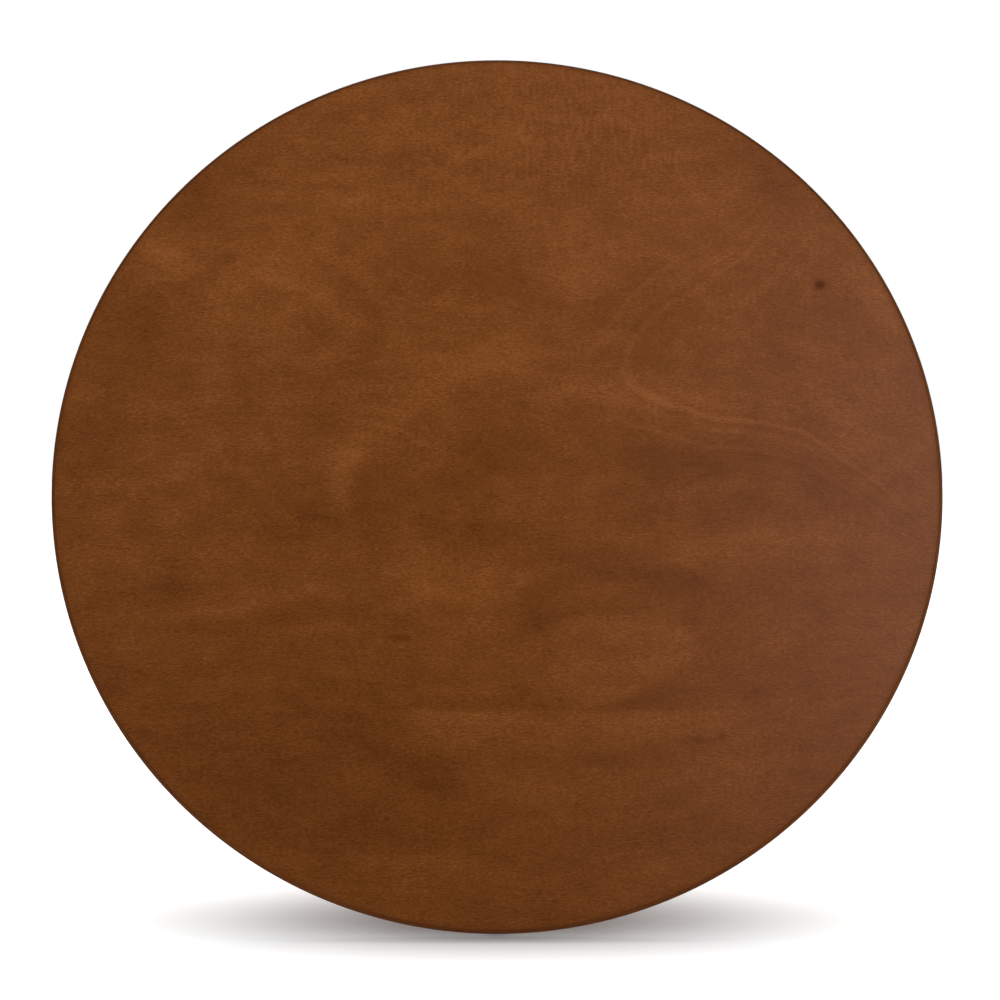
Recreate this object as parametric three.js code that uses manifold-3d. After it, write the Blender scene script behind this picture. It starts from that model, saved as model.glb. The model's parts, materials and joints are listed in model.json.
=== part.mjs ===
// Tilt-top pedestal table, stored with its round top tilted up.
// Millimetres, +Z up. The viewer stands at -Y and looks at the top's face.
// The top is drawn level, in a group on the pivot axis, and that group is then tilted.

import * as THREE from 'three';
import { mergeVertices } from 'three/addons/utils/BufferGeometryUtils.js';
import Module from 'manifold-3d';

const wasm = await Module();
wasm.setup();

// Overall
const topDiameter = 1016;
const topThickness = 22;
const tableHeight = 420;
const storedTilt = THREE.MathUtils.degToRad(75);
const rimFloorGap = 3.6;
const gap = 0.3;
const overshoot = 1;

// Top panel
const veneerThickness = 0.6;
const lippingWidth = 14;
const faceRounding = 5;
const undersideRounding = 2.5;

// Pivot
const pivotDrop = 50;
const shoulderRadius = 6;
const shoulderClearance = 0.25;
const threadRadius = 5;
const boltHeadRadius = 11;
const boltHeadHeight = 6;
const bushWall = 2.75;
const washerThickness = 2.4;
const washerRadius = 14;
const insertWall = 2.7;
const insertLength = 20;
const threadChamfer = 1;

// Head frame
const headHalfWidth = 120;
const cheekThickness = 32;
const cheekHeight = 64;
const cheekCorner = 18;
const railHeight = 50;
const railTopDrop = 2;
const frontRailOffset = 18;
const frontRailThickness = 28;
const backRailThickness = 32;
const headBackY = 150;
const tenonDepth = 10;
const tenonThickness = 14;
const tenonHeight = 34;
const boardHalfDepth = 70;
const boardThickness = 30;
const boardDrop = 4;
const tongueThickness = 12;
const tongueDepth = 8;

// Bearers under the top
const bearerThickness = 34;
const bearerHalfLength = 380;
const bearerEndDepth = 22;
const bearerTaper = 300;
const bossRadius = 24;
const bearerEndRounding = 14;
const bearerScrewInset = 25;
const bearerMiddleScrewOffset = 118;

// Column and tie rod
const hubBottomZ = 86;
const hubRadius = 42;
const waistRadius = 25;
const collarRadius = 41;
const collarHeight = 16;
const columnTenonRadius = 24;
const columnTenonRecess = 1;
const rodRadius = 4;
const nutRadius = 7.5;
const nutHeight = 7;
const plateWasherRadius = 32;
const plateWasherThickness = 3;
const rodTail = 4;

// Legs
const legThickness = 36;
const legTopZ = 168;
const hubTopMargin = 10;
const kneeReach = 112;
const kneeDrop = 6;
const archReach = 152;
const archRoot = 98;
const toeHeight = 36;
const toeSlope = 8;
const toeShoulder = 26;
const toeCorner = 6;
const ankleReach = 26;
const legRootInset = 6;
const footLength = 34;
const dovetailDepth = 14;
const dovetailRootWidth = 13;
const dovetailTipWidth = 18;
const dovetailHeight = 69;

// Feet and toe buffer
const glideRadius = 13;
const glideHeight = 6;
const glideStemRadius = 3;
const glideStemHeight = 8;
const glideInset = 20;
const glideRounding = 1.5;
const bufferLength = 12.6;
const bufferRadius = 10;
const bufferTipRadius = 8.5;
const bufferAxisZ = 26;
const bufferRecessRadius = 5.2;
const bufferRecessDepth = 7;
const bufferRounding = 1.5;
const bufferFlangeHeight = 2;

// Spider plate under the hub
const spiderThickness = 3;
const spiderReach = 88;
const spiderArmWidth = 24;
const spiderScrewReach = 72;

// Slide catch
const catchBoltRadius = 5;
const catchBoltLength = 86;
const catchBoltDrop = 12;
const catchTravel = 18;
const catchNoseGap = 6;
const catchNoseLength = 3;
const catchNoseTaper = 2;
const catchPlateSetback = 1.6;
const catchPlateWidth = 44;
const catchPlateLength = 90;
const catchPlateThickness = 3;
const lugWidth = 22;
const lugThickness = 10;
const lugDepth = 9;
const lugInset = 1;
const secondLugOffset = 56;
const knobOffset = 44.5;
const knobRadius = 8;
const knobDrop = 24;
const knobStemRadius = 2.5;
const keeperWidth = 44;
const keeperHeight = 19;
const keeperThickness = 3;
const keeperBoreClearance = 0.6;
const keeperBoreSpare = 3;
const keeperScrewSpacing = 30;
const catchScrewSpacing = 32;
const catchScrewInset = 8;

// Wood screws: head radius, shank radius, length, cone height
const bearerScrew = { head: 5, shank: 2.5, length: 37, cone: 4 };
const catchScrew = { head: 3.2, shank: 1.7, length: 14, cone: 2.2 };
const keeperScrew = { head: 3.2, shank: 1.7, length: 18, cone: 2.2 };
const spiderScrew = { head: 4.2, shank: 2.1, length: 25, cone: 2.4 };
const bufferScrew = { head: 4.2, shank: 2.1, length: 24, cone: 2.4 };
const screwRimHeight = 0.4;
const screwMouth = 6;

// Facets
const rimSegments = 96;
const columnSegments = 32;
const boreSegments = 20;
const footSegments = 16;
const screwSegments = 10;
const curveSegments = 8;
const legCurveSegments = 16;

// Places that follow from the sizes
const topRadius = topDiameter / 2;
const undersideZ = tableHeight - topThickness;
const pivotZ = undersideZ - pivotDrop;
const sinTilt = Math.sin(storedTilt);
const cosTilt = Math.cos(storedTilt);
const frontReach = (pivotZ + pivotDrop * cosTilt - rimFloorGap) / sinTilt;
const pivotY = frontReach - topRadius;
const headTopZ = undersideZ - gap;
const headBottomZ = headTopZ - cheekHeight;
const railTopZ = headTopZ - railTopDrop;
const railMiddleZ = railTopZ - railHeight / 2;
const frontRailY = pivotY + frontRailOffset + frontRailThickness / 2;
const backRailY = headBackY - backRailThickness / 2;
const cheekInnerX = headHalfWidth - cheekThickness;
const boardBottomZ = headBottomZ + boardDrop;
const boardTopZ = boardBottomZ + boardThickness;
const bearerInnerX = headHalfWidth + washerThickness + 2 * gap;
const bearerOuterX = bearerInnerX + bearerThickness;
const boltHeadX = bearerOuterX + washerThickness + 2 * gap;
const bushRadius = shoulderRadius + shoulderClearance + bushWall;
const insertRadius = threadRadius + gap + insertWall;
const spiderTopZ = hubBottomZ - gap;
const spiderBottomZ = spiderTopZ - spiderThickness;
const footZ = glideHeight + gap;
const toeTopZ = footZ + toeHeight;
const catchAxisZ = undersideZ - catchBoltDrop;
const catchNoseY = headBackY + gap + keeperThickness + catchNoseGap;
const catchPlateY = catchNoseY - catchPlateSetback;
const frontLugY = catchPlateY + lugInset;
const keeperBoreDepth = catchTravel - catchNoseGap - keeperThickness - gap + keeperBoreSpare;

const xAxis = new THREE.Vector3(1, 0, 0);
const yAxis = new THREE.Vector3(0, 1, 0);
const zAxis = new THREE.Vector3(0, 0, 1);

function finish(color, roughness, metalness) {
  return { color, roughness, metalness };
}

const stainedWood = finish(0x6e3f1e, 0.45, 0);
const panelCore = finish(0xb08a5a, 0.8, 0);
const brass = finish(0xb08d57, 0.35, 1);
const steel = finish(0x8d9096, 0.4, 1);
const rubber = finish(0x1c1b1a, 0.85, 0);
const glidePlastic = finish(0x2b2622, 0.6, 0);

// ---- Solids ----

function toSolid(geometry) {
  const plain = geometry.clone();
  plain.deleteAttribute('normal');
  plain.deleteAttribute('uv');
  const merged = mergeVertices(plain, 1e-4);
  const corners = merged.index.array;
  const kept = [];
  for (let i = 0; i < corners.length; i += 3) {
    const [a, b, c] = [corners[i], corners[i + 1], corners[i + 2]];
    if (a !== b && b !== c && c !== a) {
      kept.push(a, b, c);
    }
  }
  const mesh = new wasm.Mesh({
    numProp: 3,
    vertProperties: new Float32Array(merged.attributes.position.array),
    triVerts: new Uint32Array(kept),
  });
  return new wasm.Manifold(mesh);
}

function toGeometry(solid) {
  const mesh = solid.getMesh();
  const geometry = new THREE.BufferGeometry();
  geometry.setAttribute('position', new THREE.BufferAttribute(new Float32Array(mesh.vertProperties), 3));
  geometry.setIndex(new THREE.BufferAttribute(new Uint32Array(mesh.triVerts), 1));
  geometry.computeVertexNormals();
  return geometry;
}

function cut(geometry, cutters) {
  let solid = toSolid(geometry);
  for (const cutter of cutters) {
    solid = solid.subtract(toSolid(cutter));
  }
  return toGeometry(solid);
}

function join(geometries) {
  let solid = toSolid(geometries[0]);
  for (const other of geometries.slice(1)) {
    solid = solid.add(toSolid(other));
  }
  return toGeometry(solid);
}

// A block between two corners
function block(low, high) {
  const size = high.map((value, i) => value - low[i]);
  const middle = high.map((value, i) => (value + low[i]) / 2);
  return new THREE.BoxGeometry(...size).translate(...middle);
}

// A round bar from one point to another
function bar(from, to, radius, segments = boreSegments) {
  const start = new THREE.Vector3(...from);
  const along = new THREE.Vector3(...to).sub(start);
  const length = along.length();
  const geometry = new THREE.CylinderGeometry(radius, radius, length, segments);
  geometry.translate(0, length / 2, 0);
  geometry.applyQuaternion(new THREE.Quaternion().setFromUnitVectors(yAxis, along.normalize()));
  return geometry.translate(...from);
}

// A profile of [radius, height] points turned about Z
function turned(profile, segments) {
  const points = profile.map(([radius, height]) => new THREE.Vector2(radius, height));
  return new THREE.LatheGeometry(points, segments).rotateX(Math.PI / 2);
}

// A ring between two heights
function ring(innerRadius, outerRadius, low, high, segments = boreSegments) {
  const profile = [
    [innerRadius, low],
    [outerRadius, low],
    [outerRadius, high],
    [innerRadius, high],
    [innerRadius, low],
  ];
  return turned(profile, segments);
}

// Points of an arc in a turned profile
function arc(centre, radius, fromAngle, toAngle, steps) {
  const points = [];
  for (let i = 0; i <= steps; i += 1) {
    const angle = THREE.MathUtils.degToRad(fromAngle + ((toAngle - fromAngle) * i) / steps);
    points.push([centre[0] + radius * Math.cos(angle), centre[1] + radius * Math.sin(angle)]);
  }
  return points;
}

// A [y, z] outline extruded along X
function alongX(shape, fromX, toX) {
  const geometry = new THREE.ExtrudeGeometry(shape, {
    depth: toX - fromX,
    bevelEnabled: false,
    curveSegments,
  });
  geometry.applyMatrix4(new THREE.Matrix4().makeBasis(yAxis, zAxis, xAxis));
  return geometry.translate(fromX, 0, 0);
}

// An [x, y] outline extruded up from a height
function upFrom(shape, low, high) {
  const geometry = new THREE.ExtrudeGeometry(shape, {
    depth: high - low,
    bevelEnabled: false,
    curveSegments,
  });
  return geometry.translate(0, 0, low);
}

// A turned piece stood on X, on the side where side is 1 or -1
function onSide(geometry, side) {
  return geometry.rotateY((side * Math.PI) / 2);
}

function pieceMesh(name, geometry, look) {
  const mesh = new THREE.Mesh(geometry, new THREE.MeshStandardMaterial(look));
  mesh.name = name;
  return mesh;
}

// ---- Screws: the head's outer face at the origin, the tip towards +Z ----

function screwForm(screw, grow, mouth) {
  return turned(
    [
      [0, -mouth],
      [screw.head + grow, -mouth],
      [screw.head + grow, screwRimHeight],
      [screw.shank + grow, screw.cone],
      [screw.shank + grow, screw.length - 2 * screw.shank],
      [0, screw.length + grow],
    ],
    screwSegments,
  );
}

function screwBody(screw) {
  return screwForm(screw, 0, 0);
}

// The hole for a screw, open well outside its head
function screwHole(screw) {
  return screwForm(screw, gap, screwMouth);
}

// ---- Top: veneered panel with a rounded lipping ----

const top = new THREE.Group();
top.position.set(0, pivotY, pivotZ);
top.rotation.x = storedTilt;

// The top's pieces are drawn where they lie in use, then moved to the pivot's origin
function addToTop(name, geometry, look, parent = top) {
  parent.add(pieceMesh(name, geometry.translate(0, -pivotY, -pivotZ), look));
}

const coreRadius = topRadius - lippingWidth - gap;
const coreBottomZ = undersideZ + veneerThickness + gap;
const coreTopZ = tableHeight - veneerThickness - gap;
const faceFlatRadius = topRadius - faceRounding;
const undersideFlatRadius = topRadius - undersideRounding;

const outerScrewY = bearerHalfLength - bearerScrewInset;
const screwRows = [-outerScrewY, bearerMiddleScrewOffset, outerScrewY];
const bearerMiddleX = (bearerInnerX + bearerOuterX) / 2;
const bearerBottomZ = undersideZ - gap - bearerEndDepth;

function bearerScrewPlaces() {
  const places = [];
  for (const side of [-1, 1]) {
    for (const y of screwRows) {
      places.push([side * bearerMiddleX, y, bearerBottomZ + depthBelowEnd(y)]);
    }
  }
  return places;
}

// The bearer's underside at one place along it, measured up from its end depth
function depthBelowEnd(y) {
  const back = bearerTaperEnd();
  if (y >= back || y < pivotY) {
    return 0;
  }
  const tangent = bossTangent(back, bearerBottomZ);
  const run = (y - tangent[0]) / (back - tangent[0]);
  return (tangent[1] - bearerBottomZ) * (1 - run);
}

function bearerTaperEnd() {
  return pivotY + bearerTaper;
}

// Where a line from a point touches the lower side of the pivot boss
function bossTangent(y, z) {
  const away = [y - pivotY, z - pivotZ];
  const distance = Math.hypot(...away);
  const heading = Math.atan2(away[1], away[0]);
  const swing = Math.acos(bossRadius / distance);
  const angle = heading - Math.sign(away[0]) * swing;
  return [pivotY + bossRadius * Math.cos(angle), pivotZ + bossRadius * Math.sin(angle)];
}

const catchScrewPlaces = [];
for (const side of [-1, 1]) {
  for (const y of [catchPlateY + catchScrewInset, catchPlateY + catchPlateLength - catchScrewInset]) {
    catchScrewPlaces.push([(side * catchScrewSpacing) / 2, y, undersideZ - gap - catchPlateThickness]);
  }
}

function screwHoles(screw, places) {
  return places.map((place) => screwHole(screw).translate(...place));
}

const topCuts = [
  ...screwHoles(bearerScrew, bearerScrewPlaces()),
  ...screwHoles(catchScrew, catchScrewPlaces),
];

function panelCoreGeometry() {
  const disc = turned(
    [[0, coreBottomZ], [coreRadius, coreBottomZ], [coreRadius, coreTopZ], [0, coreTopZ]],
    rimSegments,
  );
  return cut(disc, topCuts);
}

function faceVeneerGeometry() {
  const low = tableHeight - veneerThickness;
  const radius = faceFlatRadius - gap;
  return turned([[0, low], [radius, low], [radius, tableHeight], [0, tableHeight]], rimSegments);
}

function backingVeneerGeometry() {
  const high = undersideZ + veneerThickness;
  const radius = undersideFlatRadius - gap;
  const disc = turned([[0, undersideZ], [radius, undersideZ], [radius, high], [0, high]], rimSegments);
  return cut(disc, topCuts);
}

function lippingGeometry() {
  const innerRadius = topRadius - lippingWidth;
  const profile = [
    [innerRadius, coreBottomZ],
    [undersideFlatRadius, coreBottomZ],
    ...arc([undersideFlatRadius, undersideZ + undersideRounding], undersideRounding, -90, 0, 2),
    ...arc([faceFlatRadius, tableHeight - faceRounding], faceRounding, 0, 90, 4),
    [faceFlatRadius, coreTopZ],
    [innerRadius, coreTopZ],
    [innerRadius, coreBottomZ],
  ];
  return turned(profile, rimSegments);
}

addToTop('top_core', panelCoreGeometry(), panelCore);
addToTop('face_veneer', faceVeneerGeometry(), stainedWood);
addToTop('backing_veneer', backingVeneerGeometry(), stainedWood);
addToTop('edge_lipping', lippingGeometry(), stainedWood);

// ---- Bearers: boat-shaped battens that carry the top on the pivot ----

function bearerShape() {
  const upper = undersideZ - gap;
  const frontTangent = bossTangent(-bearerHalfLength + bearerEndRounding, bearerBottomZ);
  const backTangent = bossTangent(bearerTaperEnd(), bearerBottomZ);
  const frontAngle = Math.atan2(frontTangent[1] - pivotZ, frontTangent[0] - pivotY);
  const backAngle = Math.atan2(backTangent[1] - pivotZ, backTangent[0] - pivotY);
  const shape = new THREE.Shape();
  const frontY = -bearerHalfLength;
  const backY = bearerHalfLength;
  shape.moveTo(frontY, upper);
  shape.lineTo(frontY, bearerBottomZ + bearerEndRounding);
  shape.quadraticCurveTo(frontY, bearerBottomZ, frontY + bearerEndRounding, bearerBottomZ);
  shape.lineTo(...frontTangent);
  shape.absarc(pivotY, pivotZ, bossRadius, frontAngle, backAngle, false);
  shape.lineTo(bearerTaperEnd(), bearerBottomZ);
  shape.lineTo(backY - bearerEndRounding, bearerBottomZ);
  shape.quadraticCurveTo(backY, bearerBottomZ, backY, bearerBottomZ + bearerEndRounding);
  shape.lineTo(backY, upper);
  shape.closePath();
  return shape;
}

function bearerGeometry(side) {
  const [fromX, toX] = side > 0 ? [bearerInnerX, bearerOuterX] : [-bearerOuterX, -bearerInnerX];
  const pivotHole = bar(
    [fromX - overshoot, pivotY, pivotZ],
    [toX + overshoot, pivotY, pivotZ],
    bushRadius + gap,
  );
  const places = bearerScrewPlaces().filter((place) => place[0] * side > 0);
  return cut(alongX(bearerShape(), fromX, toX), [pivotHole, ...screwHoles(bearerScrew, places)]);
}

function bushGeometry(side) {
  const tube = ring(shoulderRadius + shoulderClearance, bushRadius, bearerInnerX, bearerOuterX);
  return onSide(tube, side).translate(0, pivotY, pivotZ);
}

const sides = { left: -1, right: 1 };
for (const [sideName, side] of Object.entries(sides)) {
  addToTop(`bearer_${sideName}`, bearerGeometry(side), stainedWood);
  addToTop(`pivot_bush_${sideName}`, bushGeometry(side), brass);
}
bearerScrewPlaces().forEach((place, i) => {
  addToTop(`bearer_screw_${i + 1}`, screwBody(bearerScrew).translate(...place), steel);
});

// ---- Slide catch: plate with two lugs, a round bolt and its knob ----

function lugGeometry(y) {
  return block(
    [-lugWidth / 2, y, catchAxisZ - lugDepth],
    [lugWidth / 2, y + lugThickness, undersideZ - gap - catchPlateThickness / 2],
  );
}

function catchPlateGeometry() {
  const plate = block(
    [-catchPlateWidth / 2, catchPlateY, undersideZ - gap - catchPlateThickness],
    [catchPlateWidth / 2, catchPlateY + catchPlateLength, undersideZ - gap],
  );
  const body = join([plate, lugGeometry(frontLugY), lugGeometry(frontLugY + secondLugOffset)]);
  const bore = bar(
    [0, catchPlateY - overshoot, catchAxisZ],
    [0, catchPlateY + catchPlateLength + overshoot, catchAxisZ],
    catchBoltRadius + gap,
  );
  return cut(body, [bore, ...screwHoles(catchScrew, catchScrewPlaces)]);
}

const knobY = catchNoseY + knobOffset;
const knobStemTopZ = catchAxisZ + overshoot;

function catchBoltGeometry() {
  const profile = [
    [0, 0],
    [catchBoltRadius, 0],
    [catchBoltRadius, catchBoltLength - catchNoseLength],
    [catchBoltRadius - catchNoseTaper, catchBoltLength],
    [0, catchBoltLength],
  ];
  const rod = turned(profile, boreSegments).rotateX(Math.PI / 2);
  rod.translate(0, catchNoseY + catchBoltLength, catchAxisZ);
  const stemHole = bar(
    [0, knobY, catchAxisZ - 2 * catchBoltRadius],
    [0, knobY, knobStemTopZ + gap],
    knobStemRadius + gap,
  );
  return cut(rod, [stemHole]);
}

function catchKnobGeometry() {
  const neckZ = catchAxisZ - catchBoltRadius - gap;
  const bottomZ = catchAxisZ - knobDrop;
  const crown = knobRadius * 0.45;
  const profile = [
    [0, bottomZ],
    [knobRadius * 0.55, bottomZ + 0.4],
    [knobRadius * 0.9, bottomZ + crown * 0.6],
    [knobRadius, bottomZ + crown * 1.4],
    [knobRadius * 0.9, bottomZ + crown * 2.3],
    [knobStemRadius + 1.2, bottomZ + crown * 3.1],
    [knobStemRadius + 1, neckZ - 1.5],
    [knobStemRadius + 1.8, neckZ],
    [knobStemRadius, neckZ],
    [knobStemRadius, knobStemTopZ],
    [0, knobStemTopZ],
  ];
  return turned(profile, footSegments).translate(0, knobY, 0);
}

const catchSlide = new THREE.Group();
top.add(catchSlide);
addToTop('catch_plate', catchPlateGeometry(), brass);
addToTop('catch_bolt', catchBoltGeometry(), brass, catchSlide);
addToTop('catch_knob', catchKnobGeometry(), brass, catchSlide);
catchScrewPlaces.forEach((place, i) => {
  addToTop(`catch_screw_${i + 1}`, screwBody(catchScrew).translate(...place), brass);
});

// ---- Base ----

const base = new THREE.Group();

function addToBase(name, geometry, look) {
  base.add(pieceMesh(name, geometry, look));
}

// Head frame: two cheeks, two rails and a centre board between them

function cheekShape() {
  const noseRadius = pivotDrop - gap;
  const shape = new THREE.Shape();
  shape.moveTo(headBackY, headTopZ);
  shape.lineTo(pivotY, headTopZ);
  shape.absarc(pivotY, pivotZ, noseRadius, Math.PI / 2, Math.PI, false);
  shape.quadraticCurveTo(pivotY - noseRadius, headBottomZ, pivotY - noseRadius + cheekCorner, headBottomZ);
  shape.lineTo(headBackY - cheekCorner, headBottomZ);
  shape.quadraticCurveTo(headBackY, headBottomZ, headBackY, headBottomZ + cheekCorner);
  shape.closePath();
  return shape;
}

function railTenon(middleY, grow) {
  const halfX = cheekInnerX + tenonDepth + grow;
  return block(
    [-halfX, middleY - tenonThickness / 2 - grow, railMiddleZ - tenonHeight / 2 - grow],
    [halfX, middleY + tenonThickness / 2 + grow, railMiddleZ + tenonHeight / 2 + grow],
  );
}

function boardTongue(grow) {
  const halfX = cheekInnerX + tongueDepth + grow;
  const middleZ = (boardBottomZ + boardTopZ) / 2;
  return block(
    [-halfX, -boardHalfDepth - grow, middleZ - tongueThickness / 2 - grow],
    [halfX, boardHalfDepth + grow, middleZ + tongueThickness / 2 + grow],
  );
}

function cheekGeometry(side) {
  const [fromX, toX] = side > 0 ? [cheekInnerX, headHalfWidth] : [-headHalfWidth, -cheekInnerX];
  const insertHole = bar(
    [side * (headHalfWidth + overshoot), pivotY, pivotZ],
    [side * (headHalfWidth - insertLength - gap), pivotY, pivotZ],
    insertRadius + gap,
  );
  const sockets = [railTenon(frontRailY, gap), railTenon(backRailY, gap), boardTongue(gap)];
  return cut(alongX(cheekShape(), fromX, toX), [insertHole, ...sockets]);
}

function railGeometry(middleY, thickness) {
  const halfX = cheekInnerX - gap;
  const rail = block(
    [-halfX, middleY - thickness / 2, railTopZ - railHeight],
    [halfX, middleY + thickness / 2, railTopZ],
  );
  return join([rail, railTenon(middleY, 0)]);
}

const keeperScrewPlaces = [-1, 1].map((side) => [
  (side * keeperScrewSpacing) / 2,
  headBackY + gap + keeperThickness,
  catchAxisZ,
]);

function keeperScrewForm(form) {
  return keeperScrewPlaces.map((place) => form(keeperScrew).rotateX(Math.PI / 2).translate(...place));
}

function backRailGeometry() {
  const bore = bar(
    [0, headBackY + overshoot, catchAxisZ],
    [0, headBackY - keeperBoreDepth, catchAxisZ],
    catchBoltRadius + keeperBoreClearance,
  );
  return cut(railGeometry(backRailY, backRailThickness), [bore, ...keeperScrewForm(screwHole)]);
}

function boardGeometry() {
  const halfX = cheekInnerX - gap;
  const board = block([-halfX, -boardHalfDepth, boardBottomZ], [halfX, boardHalfDepth, boardTopZ]);
  const tenonHole = bar(
    [0, 0, boardBottomZ - overshoot],
    [0, 0, boardTopZ + overshoot],
    columnTenonRadius + gap,
    columnSegments,
  );
  return cut(join([board, boardTongue(0)]), [tenonHole]);
}

function keeperGeometry() {
  const plate = block(
    [-keeperWidth / 2, headBackY + gap, catchAxisZ - keeperHeight / 2],
    [keeperWidth / 2, headBackY + gap + keeperThickness, catchAxisZ + keeperHeight / 2],
  );
  const bore = bar(
    [0, headBackY - overshoot, catchAxisZ],
    [0, headBackY + 2 * keeperThickness, catchAxisZ],
    catchBoltRadius + keeperBoreClearance,
  );
  return cut(plate, [bore, ...keeperScrewForm(screwHole)]);
}

addToBase('head_front_rail', railGeometry(frontRailY, frontRailThickness), stainedWood);
addToBase('head_back_rail', backRailGeometry(), stainedWood);
addToBase('head_centre_board', boardGeometry(), stainedWood);
addToBase('keeper_plate', keeperGeometry(), brass);
keeperScrewForm(screwBody).forEach((geometry, i) => {
  addToBase(`keeper_screw_${i + 1}`, geometry, brass);
});

// Pivot hardware: shoulder bolt, two washers and a threaded insert on each side

function pivotBoltGeometry(side) {
  const profile = [
    [0, headHalfWidth - insertLength + threadChamfer],
    [threadRadius, headHalfWidth - insertLength + 2 * threadChamfer],
    [threadRadius, headHalfWidth + gap],
    [shoulderRadius, headHalfWidth + gap],
    [shoulderRadius, boltHeadX],
    [boltHeadRadius, boltHeadX],
    [boltHeadRadius, boltHeadX + boltHeadHeight * 0.6],
    [boltHeadRadius * 0.82, boltHeadX + boltHeadHeight],
    [0, boltHeadX + boltHeadHeight],
  ];
  return onSide(turned(profile, boreSegments), side).translate(0, pivotY, pivotZ);
}

function pivotRing(side, innerRadius, outerRadius, fromX, toX) {
  return onSide(ring(innerRadius, outerRadius, fromX, toX), side).translate(0, pivotY, pivotZ);
}

for (const [sideName, side] of Object.entries(sides)) {
  const bore = shoulderRadius + gap;
  const insertBore = threadRadius + gap;
  const spacer = pivotRing(side, bore, washerRadius, headHalfWidth + gap, bearerInnerX - gap);
  const headWasher = pivotRing(side, bore, washerRadius, bearerOuterX + gap, boltHeadX - gap);
  const insert = pivotRing(side, insertBore, insertRadius, headHalfWidth - insertLength, headHalfWidth);
  addToBase(`head_cheek_${sideName}`, cheekGeometry(side), stainedWood);
  addToBase(`pivot_bolt_${sideName}`, pivotBoltGeometry(side), steel);
  addToBase(`pivot_spacer_${sideName}`, spacer, brass);
  addToBase(`pivot_washer_${sideName}`, headWasher, steel);
  addToBase(`threaded_insert_${sideName}`, insert, brass);
}

// Column: hub for the legs, a waist, a collar under the head and a tenon into the board

function dovetailShape(grow) {
  const inner = hubRadius - dovetailDepth - grow;
  const outer = hubRadius + dovetailDepth / 2;
  const shape = new THREE.Shape();
  shape.moveTo(inner, -dovetailTipWidth / 2 - grow);
  shape.lineTo(outer, -dovetailRootWidth / 2 - grow);
  shape.lineTo(outer, dovetailRootWidth / 2 + grow);
  shape.lineTo(inner, dovetailTipWidth / 2 + grow);
  shape.closePath();
  return shape;
}

function columnGeometry() {
  const hubTopZ = legTopZ + hubTopMargin;
  const collarTopZ = boardBottomZ - gap;
  const collarBottomZ = collarTopZ - collarHeight;
  const bore = rodRadius + gap;
  const rise = collarBottomZ - hubTopZ;
  const profile = [
    [bore, hubBottomZ],
    [hubRadius - 2, hubBottomZ],
    [hubRadius, hubBottomZ + 2],
    [hubRadius, hubTopZ],
    [hubRadius - 4, hubTopZ + rise * 0.03],
    [hubRadius - 5, hubTopZ + rise * 0.07],
    [hubRadius - 2.5, hubTopZ + rise * 0.1],
    [hubRadius - 3.5, hubTopZ + rise * 0.15],
    [hubRadius - 9, hubTopZ + rise * 0.19],
    [waistRadius + 4, hubTopZ + rise * 0.3],
    [waistRadius + 1, hubTopZ + rise * 0.42],
    [waistRadius, hubTopZ + rise * 0.54],
    [waistRadius + 1.5, hubTopZ + rise * 0.68],
    [waistRadius + 5, hubTopZ + rise * 0.82],
    [waistRadius + 10, hubTopZ + rise * 0.94],
    [collarRadius - 3, collarBottomZ],
    [collarRadius, collarBottomZ + 4],
    [collarRadius, collarTopZ - 2],
    [collarRadius - 2, collarTopZ],
    [columnTenonRadius, collarTopZ],
    [columnTenonRadius, boardTopZ - columnTenonRecess],
    [bore, boardTopZ - columnTenonRecess],
    [bore, hubBottomZ],
  ];
  const slots = [];
  for (let i = 0; i < 4; i += 1) {
    const slot = upFrom(dovetailShape(gap), hubBottomZ - 5, hubBottomZ + dovetailHeight + gap);
    slots.push(slot.rotateZ((i * Math.PI) / 2));
  }
  return cut(turned(profile, columnSegments), slots);
}

addToBase('column', columnGeometry(), stainedWood);

// Legs: sabre legs whose toes lie parallel to the tilted top's underside

function undersideY(z) {
  return pivotY + ((z - pivotZ) * cosTilt - pivotDrop) / sinTilt;
}

function toeReach(z) {
  return -undersideY(z) - (bufferLength + 2 * gap) / sinTilt;
}

const glideReach = toeReach(footZ) - glideInset;

function legShape() {
  const root = hubRadius - legRootInset;
  const shape = new THREE.Shape();
  shape.moveTo(root, hubBottomZ);
  shape.lineTo(archRoot, hubBottomZ);
  shape.bezierCurveTo(archReach, hubBottomZ, archReach, footZ + 2, toeReach(footZ) - footLength, footZ);
  shape.lineTo(toeReach(footZ) - 1, footZ);
  shape.lineTo(toeReach(footZ + 1), footZ + 1);
  shape.lineTo(toeReach(toeTopZ - toeCorner), toeTopZ - toeCorner);
  shape.quadraticCurveTo(toeReach(toeTopZ), toeTopZ, toeReach(toeTopZ) - toeCorner - 1, toeTopZ + 1);
  shape.lineTo(toeReach(toeTopZ) - toeShoulder, toeTopZ + toeSlope);
  shape.bezierCurveTo(
    kneeReach + ankleReach, toeTopZ + 3 * toeSlope,
    kneeReach, legTopZ - kneeDrop,
    root, legTopZ,
  );
  shape.closePath();
  return shape;
}

function bufferPlace(alongNormal) {
  const reach = toeReach(bufferAxisZ) + alongNormal * sinTilt;
  return [reach, 0, bufferAxisZ + alongNormal * cosTilt];
}

// Turned pieces for the front toe, stood square to its face on a leg that points along +X
function onToe(geometry, alongNormal) {
  return geometry.rotateY(storedTilt).translate(...bufferPlace(alongNormal));
}

function bufferScrewForm(form) {
  const flipped = form(bufferScrew).rotateX(Math.PI);
  return onToe(flipped, gap + bufferLength - bufferRecessDepth);
}

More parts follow.
